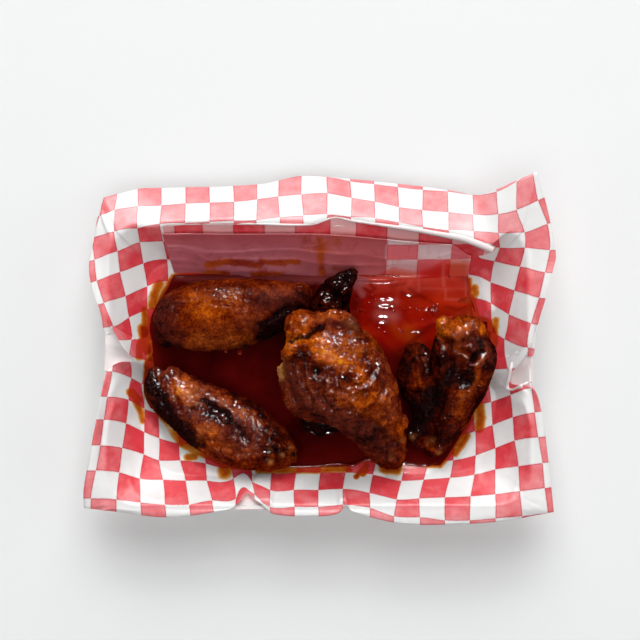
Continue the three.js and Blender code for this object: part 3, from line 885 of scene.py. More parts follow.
def dress_limb(obj, seed, creases, folds, grain, pimples, glaze, lumps=(), stretch=(1, 1, 1), dull=()):
    """Push the creases in, the lumps out, and give the skin its fine relief.

    Folds are rounded rolls with narrow valleys, grain is the same but smaller, and both are a size and a depth.
    Pimples are single bumps. Dull strokes have less glaze.
    """
    points = points_of(obj)
    normals = normals_of(obj)
    up = smoothstep(-0.1, 0.4, normals[:, 2])
    shift = blobs(points, lumps)
    for depth, width, path in creases:
        d = path_distance(points[:, :2], path)
        shift -= depth * up * np.exp(-(d / width) ** 2)
        shift += 0.25 * depth * up * np.exp(-((d - 1.7 * width) / width) ** 2)
    points = points + normals * shift[:, None]
    set_points(obj, points)
    relax(obj, 2)
    points = points_of(obj)
    normals = normals_of(obj)
    q = warped(points, 9.0, 3.0, seed + 40) * np.array(stretch)
    slow = fbm(points, 12.0, 2, seed)
    valley = ridged(q, folds[0], seed + 5) ** 4
    small = ridged(warped(points, 3.0, 1.2, seed + 50) + 3.1, grain[0], seed + 9) ** 3
    spots = smoothstep(0.15, 0.75, value_noise(points / 1.8, seed + 13))
    tiny = value_noise(points / 0.9, seed + 17)
    facing = smoothstep(0.60, 0.84, normals[:, 2]) * (0.45 + 0.55 * smoothstep(-0.25, 0.15, normals[:, 1]))
    paint(obj, "glaze", glaze * (0.30 + 0.70 * facing) - 0.25 * strokes(points, dull))
    shift = 0.5 * slow - folds[1] * (valley - 0.2) - grain[1] * (small - 0.25) + pimples * spots + ROUGHNESS * tiny
    set_points(obj, points + normals * shift[:, None])
    hollow = folds[1] * valley + grain[1] * small - 0.5 * pimples * spots - ROUGHNESS * tiny
    return points, up, hollow


def tone_limb(obj, seed, points, up, hollow, base, light, char, dark=(), tan=(), mauve=()):
    """Store the skin's tone, char, tan and mauve at every point; tone and char also carry painted light and shade, and
    mauve partly painted sheen.
    """
    patchy = fbm(points, 7.0, 4, seed + 21)
    ragged = warped(points, 5.0, 2.0, seed + 60)
    low = smoothstep(4.0, 15.0, points[:, 2])
    # Tone is lighter on upward faces, a painted light, and darker in hollows and towards the bottom, a painted shade
    tone = base + strokes(ragged, light) - strokes(ragged, dark) + 0.10 * patchy + 0.06 * (up - 0.5) - 0.22 * hollow
    burnt_and_shaded = strokes(ragged, char) * (1.0 + 0.45 * fbm(points, 4.0, 3, seed + 31))
    paint(obj, "tone", np.clip(tone * (0.35 + 0.65 * low), 0.0, 1.0))
    # Char also darkens the lower skin and the hollows, a painted shade; its strokes hold real char and painted shadow
    # in gaps
    paint(obj, "char", np.clip(burnt_and_shaded + 0.25 * (1.0 - low) + 0.12 * smoothstep(0.3, 0.9, hollow), 0.0, 1.0))
    paint(obj, "tan", np.clip(strokes(points, tan), 0.0, 1.0))
    paint(obj, "mauve", np.clip(strokes(ragged, mauve) + 0.12 * patchy, 0.0, 1.0))


def build_limb(name, limbs, rounds, seed, base, relief, **marks):
    """One joint of wing: smoothed for some rounds, given its relief, and then toned from a base with marks."""
    obj = merged_limbs(name, limbs, rounds)
    points, up, hollow = dress_limb(obj, seed, **relief)
    tone_limb(obj, seed, points, up, hollow, base, **marks)
    return obj


def build_meat():
    """All five joints of wing, from the lowest to the highest, by the node that each replaces.

    Creases are depth, half width and a line in plan; lumps are x, y, z, radius and height; all marks are strokes.
    """
    pieces = {}

    hook = [(17.5, 46.5, 16, 2.5, 3), (16, 45.5, 18, 4, 4), (12, 42, 19, 5, 5), (8, 37, 20, 6, 5)]
    ends = [knob(-5, -28, 12, 4.5), knob(1, -31, 12, 4), knob(8, -29, 12, 4.5), knob(4, 31, 20, 4.5)]
    relief = dict(creases=[(2.2, 1.4, [(15, 43), (9, 34), (6, 26)])],
                  folds=(4.5, 0.9), grain=(2.2, 0.35), pimples=0.25, glaze=0.28)
    pieces["flat_under"] = build_limb(
        "under_wing_flat", [UNDER_FLAT, hook] + ends, rounds=5, seed=501, base=0.24, relief=relief,
        light=[(3, 0.2, [(2, 31), (9, 33)]), (4, 0.15, [(-3, -29), (8, -30)])],
        char=[(5, 0.7, [(15, 46), (10, 40), (7, 34)]), (7, 0.7, [(-5, -27), (8, -29)])])

    ends = [knob(-9, 35, 17, 7, 6.5), knob(-12, 30, 15, 7.5, 7), knob(-19, 24, 15, 7, 7), knob(-75, 28, 14, 7, 7),
            knob(-75.5, 17, 13, 7.5, 7)]
    relief = dict(creases=[(0.7, 2.2, [(-72, 14), (-54, 11), (-36, 14)]), (1.2, 1.3, [(-24, 22), (-16, 27), (-8, 28)])],
                  lumps=[(-12, 35, 24, 6, 1.0)], stretch=(0.7, 1.0, 1.0),
                  folds=(4.6, 0.16), grain=(1.7, 0.18), pimples=0.26, glaze=0.22,
                  dull=[(8, 0.8, [(-26, 35), (-8, 35)]), (7, 0.4, [(-72, 36), (-60, 38)])])
    pieces["flat_rear"] = build_limb(
        "rear_wing_flat", [REAR_FLAT] + ends, rounds=9, seed=101, base=0.44, relief=relief,
        light=[(8, 0.22, [(-59, 27.5), (-44, 25.5)]), (6, 0.22, [(-62, 12.5), (-36, 12)]),
               (4, 0.08, [(-30, 36), (-16, 38)]), (3, 0.12, [(-34, 20), (-30, 22)])],
        dark=[(5, 0.12, [(-79, 30), (-81, 20), (-76, 10)]), (6, 0.14, [(-22, 32), (-8, 31)])],
        # The first char stroke is painted shadow at the wing's lower right end
        char=[(7, 1.2, [(-17, 20), (-25, 13)]), (4, 0.8, [(-23, 23), (-16, 27)]), (5, 1.0, [(-34, 8), (-24, 8)]),
              (4.5, 1.0, [(-78, 8), (-66, 6)]), (3, 0.5, [(-9, 27), (-5, 30)])],
        mauve=[(9, 0.9, [(-79, 30), (-79, 18), (-74, 10)]), (6, 0.8, [(-27, 31), (-12, 32)]),
               (5, 0.45, [(-38, 26), (-34, 18)]), (7, 0.35, [(-60, 12), (-44, 11)])])

    ends = [knob(-80.5, -4.5, 19, 4.5), knob(-72, -5.5, 20, 5), knob(-76, -9, 22, 4.5), knob(-23, -41.5, 19, 4.2),
            knob(-17, -44, 17, 3.4), knob(-23.5, -46.5, 15, 3.2), knob(-14, -40.5, 18, 3.4), knob(-19, -38.5, 19, 3.4),
            knob(-26, -36, 19, 4), knob(-18.5, -48, 13, 2.6), knob(-12.5, -45, 14, 2.6)]
    groove = [(-60, -14.5), (-56.2, -17.4), (-51.8, -21.3), (-46.9, -23.2), (-44, -27.1), (-39.2, -31.9),
              (-35.8, -35.8)]
    relief = dict(creases=[(1.9, 2.0, groove), (1.4, 1.5, [(-72, -8), (-68, -22)]), (1.2, 1.2, [(-79, -2), (-78, -9)]),
                           (1.8, 1.0, [(-27, -41), (-20.5, -41), (-20, -48)]), (1.8, 1.0, [(-20, -42), (-12, -43)]),
                           (1.4, 1.0, [(-22, -36), (-15, -38)])],
                  lumps=[(-62, -12, 28, 7, 1.5), (-52, -32, 26, 7, 1.4)],
                  folds=(4.4, 0.5), grain=(1.9, 0.42), pimples=0.30, glaze=0.36)
    pieces["flat_front"] = build_limb(
        "front_wing_flat", [FRONT_FLAT] + ends, rounds=4, seed=201, base=0.48, relief=relief,
        light=[(5.0, 0.40, [(-67, -11), (-61, -15.5)]), (4.8, 0.36, [(-56.5, -31.5), (-50, -34)]),
               (4.5, 0.14, [(-51, -15), (-41, -20), (-33, -26)]), (6, 0.20, [(-56, -36), (-46, -41), (-36, -43)])],
        # The first dark stroke is painted shade along the wing's shaded upper edge
        dark=[(3.5, 0.2, [(-58, -6), (-42, -13), (-28, -24)]), (5, 0.14, [(-38, -38), (-24, -36)])],
        char=[(2.6, 0.95, groove[1:5]), (2.2, 0.55, groove[4:]), (3.2, 0.6, [(-50, -23), (-49, -27)]),
              (2.6, 0.6, [(-62, -21), (-56, -20)]),
              (5.5, 1.15, [(-86, -4), (-80, -14), (-74, -24), (-68, -32.5), (-61, -39)]),
              (2.2, 0.7, [(-27, -41), (-20, -41), (-12, -43)]), (4.0, 0.7, [(-24, -34), (-17, -36)])],
        tan=[(1.2, 0.7, [(-23.5, -47.3)]), (1.1, 0.6, [(-17.4, -44)]), (1.0, 0.5, [(-13.7, -40.5)]),
             (1.0, 0.4, [(-23.5, -41.5)])],
        mauve=[(6, 1.0, groove), (7, 0.55, [(-66, -11), (-58, -17)]), (6, 0.5, [(-56, -31), (-48, -34)]),
               (4, 0.9, [(-64, -23), (-57, -25)]), (4.5, 0.8, [(-83, -2), (-72, -4)]),
               (5, 0.6, [(-48, -42), (-30, -40)]), (3, 0.5, [(-46, -30), (-40, -35)])])

    ends = [knob(61, 18, 34, 5.0), knob(67, 14, 37, 5.5), knob(74, 17, 34, 6), knob(80, 5, 30, 5.5),
            knob(77, -3, 31, 5), knob(46.5, -34.5, 12.5, 4.3), knob(56, -41, 11.5, 3.8), knob(51, -37, 12, 4)]
    strand = [(59, 12, 32, 2, 2), (58.5, 4, 33, 2.6, 2.6), (59, -6, 30, 2.4, 2.4), (60, -14, 26, 2, 2)]
    creases = [(2.4, 1.5, [(74, 12), (79, 6), (74, 1)]), (2.2, 1.8, [(62, 10), (63, 2), (61, -12), (57, -24)]),
               (1.4, 1.3, [(50, 8), (53, -2), (51, -12)]), (1.8, 1.3, [(63, 8), (70, 5.5), (76, 2)]),
               (1.4, 1.2, [(46, 2), (47, -8), (49, -18)]), (1.6, 1.2, [(60, 12), (66, 9), (73, 11)])]
    relief = dict(creases=creases, stretch=(1.0, 0.6, 1.0),
                  lumps=[(70.4, -8.9, 36, 4.0, -4.5), (65, -2.6, 38, 5, -2.4), (78, -3, 34, 5, 1.2)],
                  folds=(4.8, 0.6), grain=(2.0, 0.38), pimples=0.26, glaze=0.35,
                  dull=[(8, 1.2, [(43, 6), (45, -8), (50, -18)])])
    pieces["drumette_right"] = build_limb(
        "right_drumette", [RIGHT_DRUMETTE, RIGHT_LOBE, strand] + ends, rounds=4, seed=401, base=0.34,
        relief=relief,
        light=[(7.0, 0.42, [(58, 17), (66, 16.5), (73, 18)]), (5.0, 0.18, [(58, 9), (70, 8)]),
               (2.8, 0.62, [(79.2, 15.8)]), (3.0, 0.30, [(80, 4), (77, -2)]), (2.0, 0.28, [(48.5, -4), (49.5, -10)]),
               (1.8, 0.22, [(55.5, -6), (56, -12)]), (4.5, 0.24, [(76, -8), (70, -17), (66, -26)]),
               (2, 0.25, [(54.5, -38), (60, -43)])],
        dark=[(4, 0.10, [(57, 10), (56, 0)])],
        char=[(4.2, 1.2, [(70.8, -8.8)]), (3.6, 0.9, [(64, -3), (64, -9)]),
              # The first stroke on the line below is painted shadow in the gap between the drumette and its lobe
              (5.0, 1.4, [(57, -15), (53, -22), (50, -29)]), (3.0, 0.5, [(44, 4), (43.5, -8)]),
              (2.2, 0.6, [(60, 6), (60.5, -4)]), (2.0, 0.8, [(77, 10), (80, 6), (75, 1)]),
              (2.4, 0.7, [(52, 9), (56, 11)]), (3, 0.7, [(46, -18), (48, -26)])],
        tan=[(1.5, 0.35, [(46.4, -34.7)]), (1.5, 0.3, [(55.5, -37)]), (1.4, 0.3, [(59.5, -43)])],
        mauve=[(5, 0.6, [(79, 8), (83, 2)]), (5, 0.4, [(66, -33), (63, -38)]), (4, 0.5, [(66, 12), (73, 12)])])

    rolls = [[(1.8, 20.7, 44, 2.5, 2.5), (7, 22.3, 45, 3, 3), (12.7, 21.8, 44.5, 3, 3), (17, 19, 43, 2.5, 2.5)],
             [(12, 19.5, 46, 3, 3), (15, 17, 47, 5, 4.5), (19, 13.5, 46, 4, 4)],
             [(-15, 3, 42, 4, 5), (-9, 5, 48, 7, 7), (4, 7, 50, 8, 6.5), (16, 7, 49, 8, 7), (23, 4, 46, 5, 6)],
             [(-15, -6, 36, 4, 7), (-10, -17, 35, 7, 8), (0, -22, 33, 7, 8), (9, -23, 31, 6, 8), (14, -24, 30, 3, 5)],
             [(-16, 0, 38, 2, 3), (-16.5, -6, 36, 3, 4), (-15, -13, 34, 3, 4), (-11, -20, 32, 2.5, 3)]]
    ends = [knob(-18.2, -3.5, 36, 2.8, 4.5), knob(-8.3, 15.3, 41, 8.4, 8.0), knob(36.5, -44.5, 15.5, 5),
            knob(40, -37, 20, 4.5), knob(31.5, -41.5, 18, 4.5), knob(40, -28, 26, 4.5)]
    creases = [(3.4, 1.7, [(-17, 8), (-12, 10.3), (-6.8, 9.9), (-2.1, 12.2), (1.3, 16.6), (1.8, 22)]),
               (1.6, 1.3, [(-12, 1), (-12.5, -6), (-10.5, -12)]), (1.6, 1.2, [(-8, -4), (-7, -13), (-3, -20)]),
               (1.7, 1.3, [(1.8, -12), (1, -17), (5, -22)]), (1.0, 1.4, [(28, -2), (24.7, -9), (19, -12), (13, -11)]),
               (1.0, 1.1, [(10, -14), (15.8, -17.5), (21, -15)]), (1.2, 1.2, [(33, -12), (28, -20), (31, -28)]),
               (1.2, 1.2, [(22, -24), (29, -32), (33, -40)]), (1.4, 1.1, [(8, 17.5), (13, 14), (21, 12.5)]),
               (1.2, 1.0, [(27, 12), (25, 6), (28, 0)]), (1.2, 1.2, [(36, -38), (33, -44), (38, -46)])]
    relief = dict(creases=creases, stretch=(1.0, 0.8, 1.0),
                  lumps=[(-1.1, -5.2, 56, 2.6, -2.8), (21.5, 18, 44, 2.5, -3), (8, 4, 56, 5, 0.8),
                         (22, -12, 52, 4, 1.0), (8, -14, 52, 5, 1.0)],
                  folds=(5.2, 0.45), grain=(1.8, 0.50), pimples=0.30, glaze=0.40,
                  dull=[(6, 1.0, [(0, 20), (14, 20), (22, 16)]), (5, 0.6, [(-10, 20), (-6, 14)])])
    pieces["drumette_centre"] = build_limb(
        "centre_drumette", [CENTRE_DRUMETTE, CENTRE_KNOB] + rolls + ends, rounds=4, seed=301, base=0.53,
        relief=relief,
        light=[(3.4, 0.38, [(-14.5, 5), (-13, 10), (-5, 11), (3, 9)]), (6.5, 0.34, [(0, 6), (8, 3), (11, 0)]),
               (2.6, 0.50, [(10.4, 0.3)]), (8, 0.16, [(13, 5), (19, -4), (24, -12)]),
               (6, 0.18, [(8, -14), (18, -17), (32, -16)]), (5, 0.12, [(-10, 20), (-5, 19)]),
               (2.4, 0.30, [(1, 21.5), (12, 22.5)]), (2.5, 0.12, [(27, 0), (33, -13)]),
               (2.0, 0.12, [(41, -38), (40, -32)])],
        dark=[(5, 0.04, [(-16, -1), (-10, -12)]), (5, 0.06, [(-8, -20), (7, -25)]), (4, 0.16, [(4, 19), (16, 17)]),
              (3.5, 0.16, [(-9, 3), (-4, -2), (2, -4)]), (2.5, 0.16, [(-2, -10), (6, -12), (14, -8)]),
              (2.5, 0.14, [(20, 8), (24, -2), (30, -12)]), (5, 0.14, [(16, -31), (26, -38), (33, -43)])],
        char=[(2.4, 1.0, [(-1.1, -5.4)]), (2.8, 1.0, [(21, 18.5)]), (1.6, 0.8, [(-12, 10.4), (-2, 12.4), (1.3, 17)]),
              (3.5, 0.45, [(30, -29), (34, -36)]), (3.5, 0.5, [(22, -26), (28, -33)]), (2.2, 0.5, [(38, -40)])],
        tan=[(2.4, 1.3, [(-19.6, -1), (-19.6, -6)]), (2.2, 0.12, [(14, 18.8), (17.5, 15.5)]),
             (1.4, 0.2, [(36, -45)]), (1.4, 0.2, [(41, -37)])],
        mauve=[(6, 0.9, [(2, -24), (22, -34), (32, -42)]), (7, 0.9, [(-13, -8), (-9, -18), (0, -22)]),
               (5, 0.5, [(30, 0), (33, -12), (36, -24)]), (3, 0.5, [(2, -12), (14, -16)]),
               (5, 0.5, [(2, 20), (16, 18)])])
    return pieces


def meat_material():
    """Fried skin: tone and char that carry painted shade, wrinkles, tan bone and a mauve that is partly painted sheen,
    under beads and patches of glaze.
    """
    material, tree, shader, vector = new_material("glazed_skin")
    broad = noise(tree, vector, 170.0, 4.0, 0.6, 0.8)
    fine = noise(tree, vector, 560.0, 5.0, 0.6, 0.6)
    specks = noise(tree, vector, 1300.0, 2.0, 0.6)
    tone = varied(tree, attribute(tree, "tone"), broad, 0.58)
    tone = varied(tree, tone, fine, 0.34)
    tone = varied(tree, tone, specks, 0.14)
    wrinkles = ramp(tree, noise(tree, vector, 190.0, 2.0, 0.55, 2.2),
                    (0.40, 0.0), (0.46, 1.0), (0.49, 0.1), (0.57, 0.0), (0.61, 0.8), (0.66, 0.0))
    tone = maths(tree, "MULTIPLY_ADD", wrinkles, -0.19, tone, clamp=True)
    skin = ramp(tree, tone, (0.0, srgb(8, 1, 2)), (0.2, srgb(42, 6, 3)), (0.4, srgb(92, 22, 4)),
                (0.6, srgb(146, 56, 5)), (0.8, srgb(210, 100, 10)), (1.0, srgb(255, 168, 30)))
    # Mauve: a cool tint, partly the skin's own colour and partly painted sheen where the glaze reflects the pale paper
    # round it
    cold = ramp(tree, tone, (0.1, srgb(34, 10, 12)), (0.5, srgb(108, 46, 36)), (0.9, srgb(172, 90, 54)))
    colour = tint(tree, "mauve", 0.7, skin, cold)
    pale = ramp(tree, fine, (0.3, srgb(150, 84, 34)), (0.7, srgb(214, 150, 88)))
    colour = mix(tree, attribute(tree, "tan"), colour, pale)
    black = ramp(tree, fine, (0.35, srgb(5, 2, 2)), (0.7, srgb(38, 17, 17)))
    edge = varied(tree, attribute(tree, "char"), fine, 1.0)
    colour = mix(tree, ramp(tree, edge, (0.32, 0.0), (0.72, 0.94)), colour, black)
    normal = bump(tree, specks, 0.5, 0.0004)
    normal = bump(tree, fine, 0.6, 0.0007, normal)
    normal = bump(tree, wrinkles, -0.5, 0.0004, normal)
    beads = noise(tree, vector, 480.0, 1.0, 0.5, 1.4)
    patches = maths(tree, "ADD", noise(tree, vector, 780.0, 2.0, 0.5), attribute(tree, "glaze"))
    feed(tree, shader, {
        "Base Color": colour, "Roughness": ramp(tree, broad, (0.3, 0.4), (0.7, 0.6)), "Normal": normal,
        "Specular IOR Level": 0.0, "Coat Weight": ramp(tree, patches, (0.80, 0.02), (0.88, 1.0)),
        "Coat Roughness": 0.04, "Coat IOR": 1.5, "Coat Normal": bump(tree, beads, 0.8, 0.0008)})
    return material


# ---------------------------------------------------------------- sauce

POOL_RINGS = 66
POOL_DEPTH = 1.6
# Power by which the rings crowd towards the pool's edge, where its lip is
CROWDING = 1.6
# How far the lip reaches in from the paper; height and reach of the one round the meat
LIP_REACH = 1.5
MEAT_LIP, MEAT_LIP_REACH = 0.9, 1.1
# Thin sauce over creased paper, behind and to the right: centre and half size
THIN_CENTRE = (42.0, 34.0)
THIN_SIZE = (42.0, 26.0)
# Wet creases in it: x, y, half length, half width, height
WET_CREASES = [(27, 44.6, 15, 1.3, 1.1), (34, 32.8, 6.5, 2.2, 1.5), (32.5, 24.3, 5, 1.6, 1), (56, 30.5, 4, 1.3, 0.7),
               (20, 33, 3, 1.5, 0.7), (17, 27, 3, 1.5, 0.7), (46, 38, 4, 2.0, 0.7), (62, 38, 6, 1.6, 0.6),
               (48, 20, 8, 2.5, 0.9), (60, 22, 5, 1.8, 0.7), (70, 31, 5, 1.5, 0.5), (8, 44, 5, 1.6, 0.7)]
# Darker wrinkles in it: half width, strength and a line in plan
FILM_WRINKLES = [(0.9, 0.9, [(22.5, 40.5), (26, 38), (28.5, 40), (26, 42)]),
                 (1.0, 0.8, [(46, 40), (50, 36.5), (54, 35)]), (0.9, 0.7, [(42, 38), (47, 35.5), (52, 36.5)]),
                 (1.6, 0.9, [(55, 20), (48, 14), (42, 9)]),
                 (1.2, 0.8, [(58, 22), (52, 18), (45, 10)]), (0.8, 0.6, [(44, 31), (43, 26), (47, 22)]),
                 (0.8, 0.6, [(56, 34), (60, 30), (58, 26)]), (2.2, 0.7, [(20, 36), (18, 30), (19, 25)]),
                 (0.9, 0.6, [(64, 31), (70, 29), (74, 30)]), (0.7, 0.5, [(36, 41), (44, 42.5)])]
# Folds of the print that show pale through the film of sauce, on the pool and on the flap
PALE_LINES = [(0.7, 0.5, [(50.7, 39), (50.7, 55)]), (0.6, 0.4, [(52, 40.2), (64, 39.8), (75, 39.6)]),
              (0.7, 0.9, [(63.3, 41.5), (62.8, 51)]), (0.6, 0.7, [(74.4, 34), (74.4, 52)]),
              (0.7, 0.7, [(64, 34.6), (74, 34)]), (0.6, 0.6, [(64.3, 34.5), (64, 39.8)]),
              (0.7, 0.6, [(63, 51.5), (69, 52.8), (74, 52.3)])]
# Everything that is drawn on the pool, by the name its material knows
POOL_STROKES = {
    "amber": [(4.0, 1.0, [(48, 12), (45, 18)]), (2.5, 0.6, [(37, 22), (41, 16)])],
    "fresh": [(7.0, 1.0, [(62, 34), (72, 32)])],
    "mauve": [(5.5, 1.3, [(-72, 49), (-40, 48), (0, 48), (20, 45)]), (3.0, 0.8, [(18, 44), (22, 37)])],
    # A pale mauve patch on the film: painted reflection
    "painted_reflection": [(3.0, 1.0, [(31, 27), (38, 26)]), (2.0, 0.6, [(30, 32), (39, 33)])],
    "wrinkles": FILM_WRINKLES,
    "pale_lines": PALE_LINES,
}
# Raised rim of the sauce, along the front of the pool and where the flap leaves it: x, y, lift, radius
POOL_RIMS = [[(-19.0, -49.4, 0, 0.4), (-11.5, -49.4, 0, 0.8), (0.8, -49.1, 0, 0.8), (5.4, -48.2, 0, 0.8),
              (11.0, -48.0, 0, 0.8), (17.0, -48.8, 0, 0.9), (22.3, -46.3, 0, 0.8), (27.0, -46.0, 0, 0.4)],
             [(43.0, -48.5, 0, 0.4), (47.2, -48.7, 0, 0.7), (53.3, -49.2, 0, 0.7), (59.0, -47.6, 0, 0.4)],
             [(12.0, 46.0, 0, 0.3), (20.0, 46.5, 0, 0.5), (27.0, 46.2, 0, 0.6), (34.0, 46.6, 0, 0.5),
              (41.0, 46.2, 0, 0.3)]]
# Beads of sauce that each catch the light: x, y, radius
BEADS = [(58, 30.5, 0.8), (59.5, 29, 0.6), (57, 28.5, 0.7), (60.2, 31.6, 0.5), (55.5, 29.8, 0.5), (58.4, 27, 0.5),
         (49.5, 30.2, 0.6), (51, 29.4, 0.5), (46.5, 30.8, 0.5), (43.2, 29.4, 0.6), (41.2, 18.8, 0.6), (42.6, 18, 0.5),
         (21.4, 28.8, 0.8), (19.6, 29.2, 0.6), (23.4, 28.5, 0.5), (27, 36, 0.6), (28.6, 34.4, 0.5), (36.5, 30, 0.6),
         (38, 28.6, 0.5), (33, 29.6, 0.5), (66, 46.4, 0.6), (62.3, 22.6, 0.7), (64, 24, 0.5), (52.6, 24, 0.5),
         (30.6, 19.5, 0.6), (33.4, 17.6, 0.5), (25.4, 33, 0.5), (-39.5, 7.6, 0.8), (-46.6, 8.2, 0.6), (48, 34, 0.5)]
# How much larger the beads are shown, and how high they stand for their radius
BEAD_GROWTH = 1.5
BEAD_HEIGHT = 0.55
BEAD_SIDES, BEAD_RINGS = 12, 5


def thinness(xy):
    """How thin the sauce lies: 1 where the paper shows through, 0 over the deep pool."""
    d = np.hypot((xy[:, 0] - THIN_CENTRE[0]) / THIN_SIZE[0], (xy[:, 1] - THIN_CENTRE[1]) / THIN_SIZE[1])
    return 1.0 - smoothstep(0.75, 1.15, d)


def build_sauce(places, meat):
    """Level pool with a raised lip where it clings to paper and meat, creased where it is thin."""
    outline = []
    for column in places:
        heights = column[:, 2]
        index = int(np.argmax(heights > SAUCE_LEVEL + LIP))
        low, high = column[max(index - 1, 0)], column[index]
        t = (SAUCE_LEVEL + LIP - low[2]) / max(high[2] - low[2], 1e-6)
        outline.append((low + np.clip(t, 0, 1) * (high - low))[:2])
    outline = np.array(outline)
    shares = 1.0 - (1.0 - np.linspace(0.0, 1.0, POOL_RINGS)) ** CROWDING
    xy = np.concatenate([outline * share for share in shares[1:]])
    margin = np.maximum(-signed_distance(xy, [tuple(p) for p in outline]), 0.0)
    trees = [surface_tree(obj) for obj in meat]
    near = np.array([min(tree.find_nearest(Vector((x * MM, y * MM, SAUCE_LEVEL * MM)))[3] for tree in trees)
                     for x, y in xy]) / MM
    flat = np.column_stack([xy, np.zeros(len(xy))])
    thin = thinness(xy)
    creases = 0.5 * fbm(warped(flat, 12.0, 4.0, 61) * np.array([0.55, 1.0, 1.0]), 11.0, 3, 71)
    for x, y, length, width, height in WET_CREASES:
        creases += height * np.exp(-((xy[:, 0] - x) / length) ** 2 - ((xy[:, 1] - y) / width) ** 2)
    z = SAUCE_LEVEL + thin * creases + (1 - thin) * 0.05 * fbm(flat, 14.0, 2, 73)
    z += LIP * np.exp(-margin / LIP_REACH) + MEAT_LIP * np.exp(-near / MEAT_LIP_REACH)
    upper = np.concatenate([np.column_stack([xy, z]), [[0, 0, SAUCE_LEVEL]]])
    obj = make_object("sauce_pool", thickened(upper, 0, 0, POOL_DEPTH), disc_faces(POOL_RINGS - 1, len(outline)))
    shine = np.clip((xy[:, 1] - 36) / 9 + 0.5 * smoothstep(52, 68, xy[:, 0]) * smoothstep(24, 34, xy[:, 1]), 0, 1)
    layers = {"thin": thin, "margin": np.exp(-margin / 5.0), "near": np.exp(-near / 3.0), "shine": shine}
    layers.update({name: strokes(flat, rows) for name, rows in POOL_STROKES.items()})
    for name, values in layers.items():
        paint(obj, name, np.tile(np.append(values, 0.0), 2))
    return obj


def build_beads(pool):
    """Small domes of sauce standing on the film."""
    tree = surface_tree(pool)
    points, faces = [], []
    for x, y, radius in BEADS:
        hit = tree.ray_cast(Vector((x * MM, y * MM, 0.05)), Vector((0, 0, -1)))[0]
        radius *= BEAD_GROWTH
        base = hit.z / MM - 0.05 * radius
        first = len(points)
        for k in range(BEAD_RINGS):
            slope = k * math.pi / (2 * BEAD_RINGS)
            ring = radius * math.cos(slope)
            for a in range(BEAD_SIDES):
                angle = a * math.pi / (BEAD_SIDES / 2)
                points.append((x + ring * math.cos(angle), y + ring * math.sin(angle),
                               base + BEAD_HEIGHT * radius * math.sin(slope)))
        faces += tube_faces(BEAD_RINGS, BEAD_SIDES, first)
        top = len(points)
        points += [(x, y, base + BEAD_HEIGHT * radius), (x, y, base)]
        for a in range(BEAD_SIDES):
            b = (a + 1) % BEAD_SIDES
            faces.append((top - BEAD_SIDES + a, top - BEAD_SIDES + b, top))
            faces.append((first + b, first + a, top + 1))
    obj = make_object("sauce_beads", points, faces)
    paint(obj, "thin", np.ones(len(points)))
    return obj


def build_rims(*objects):
    """All pieces of the raised rim, laid on the objects."""
    rims = [build_roll("sauce_rim_%d" % i, resting(stations, objects), POOL_RIM_RINGS)
            for i, stations in enumerate(POOL_RIMS)]
    for rim in rims:
        paint(rim, "margin", np.ones(len(rim.data.vertices)))
        paint(rim, "thin", smoothstep(0, 20, points_of(rim)[:, 1]))
    return rims


def sauce_material():
    """Wet sauce: dark where it is deep and painted with shadow next to the meat, bright over paper with a painted
    reflection on it, and with a film of fat at the back.
    """
    material, tree, shader, vector = new_material("hot_sauce")
    thin = attribute(tree, "thin")
    broad = noise(tree, vector, 60.0, 3.0, 0.5)
    deep = ramp(tree, broad, (0.3, (0.042, 0.0010, 0.0010)), (0.7, (0.120, 0.0028, 0.0024)))
    streaks = noise(tree, vector, 45.0, 5.0, 0.6, 0.8)
    shallow = ramp(tree, streaks, (0.3, (0.21, 0.002, 0.0006)), (0.5, (0.31, 0.005, 0.001)),
                   (0.72, (0.44, 0.025, 0.006)))
    bright = ramp(tree, streaks, (0.3, (0.54, 0.028, 0.015)), (0.7, (0.72, 0.085, 0.055)))
    shallow = mix(tree, attribute(tree, "shine"), shallow, bright)
    shallow = tint(tree, "fresh", 0.7, shallow, (0.62, 0.030, 0.004))
    shallow = mix(tree, attribute(tree, "amber"), shallow, (0.40, 0.035, 0.002))
    shallow = tint(tree, "pale_lines", 0.45, shallow, (0.80, 0.16, 0.12))
    # Pale mauve patch on the film: a painted reflection
    shallow = tint(tree, "painted_reflection", 0.6, shallow, (0.42, 0.10, 0.085))
    shallow = tint(tree, "wrinkles", 0.8, shallow, (0.15, 0.003, 0.001))
    colour = mix(tree, thin, deep, shallow)
    swirl = varied(tree, attribute(tree, "mauve"), streaks, 1.2)
    colour = mix(tree, ramp(tree, swirl, (0.3, 0.0), (0.8, 1.0)), colour, (0.42, 0.085, 0.09))
    deeper = maths(tree, "SUBTRACT", 1.0, thin)
    rim = maths(tree, "MULTIPLY", attribute(tree, "margin"), deeper)
    colour = mix(tree, rim, colour, (0.14, 0.005, 0.003))
    # Painted shadow: the deep sauce goes nearly black next to the meat
    shade = maths(tree, "MULTIPLY", maths(tree, "MULTIPLY", attribute(tree, "near"), 0.75), deeper)
    colour = mix(tree, shade, colour, (0.012, 0.0006, 0.0006))
    ripple = noise(tree, vector, 130.0, 2.0, 0.5)
    waves = noise(tree, vector, 160.0, 1.5, 0.5)
    feed(tree, shader, {
        "Base Color": colour, "Roughness": ramp(tree, broad, (0.3, 0.1), (0.7, 0.2)),
        "Normal": bump(tree, ripple, 0.12, 0.0006), "Specular IOR Level": 0.03,
        "Coat Weight": ramp(tree, attribute(tree, "mauve"), (0.03, 1.0), (0.3, 0.05)),
        "Coat Roughness": 0.03, "Coat IOR": 1.5, "Coat Normal": bump(tree, waves, 0.6, 0.0012)})
    return material


# ---------------------------------------------------------------- flap of greasy paper

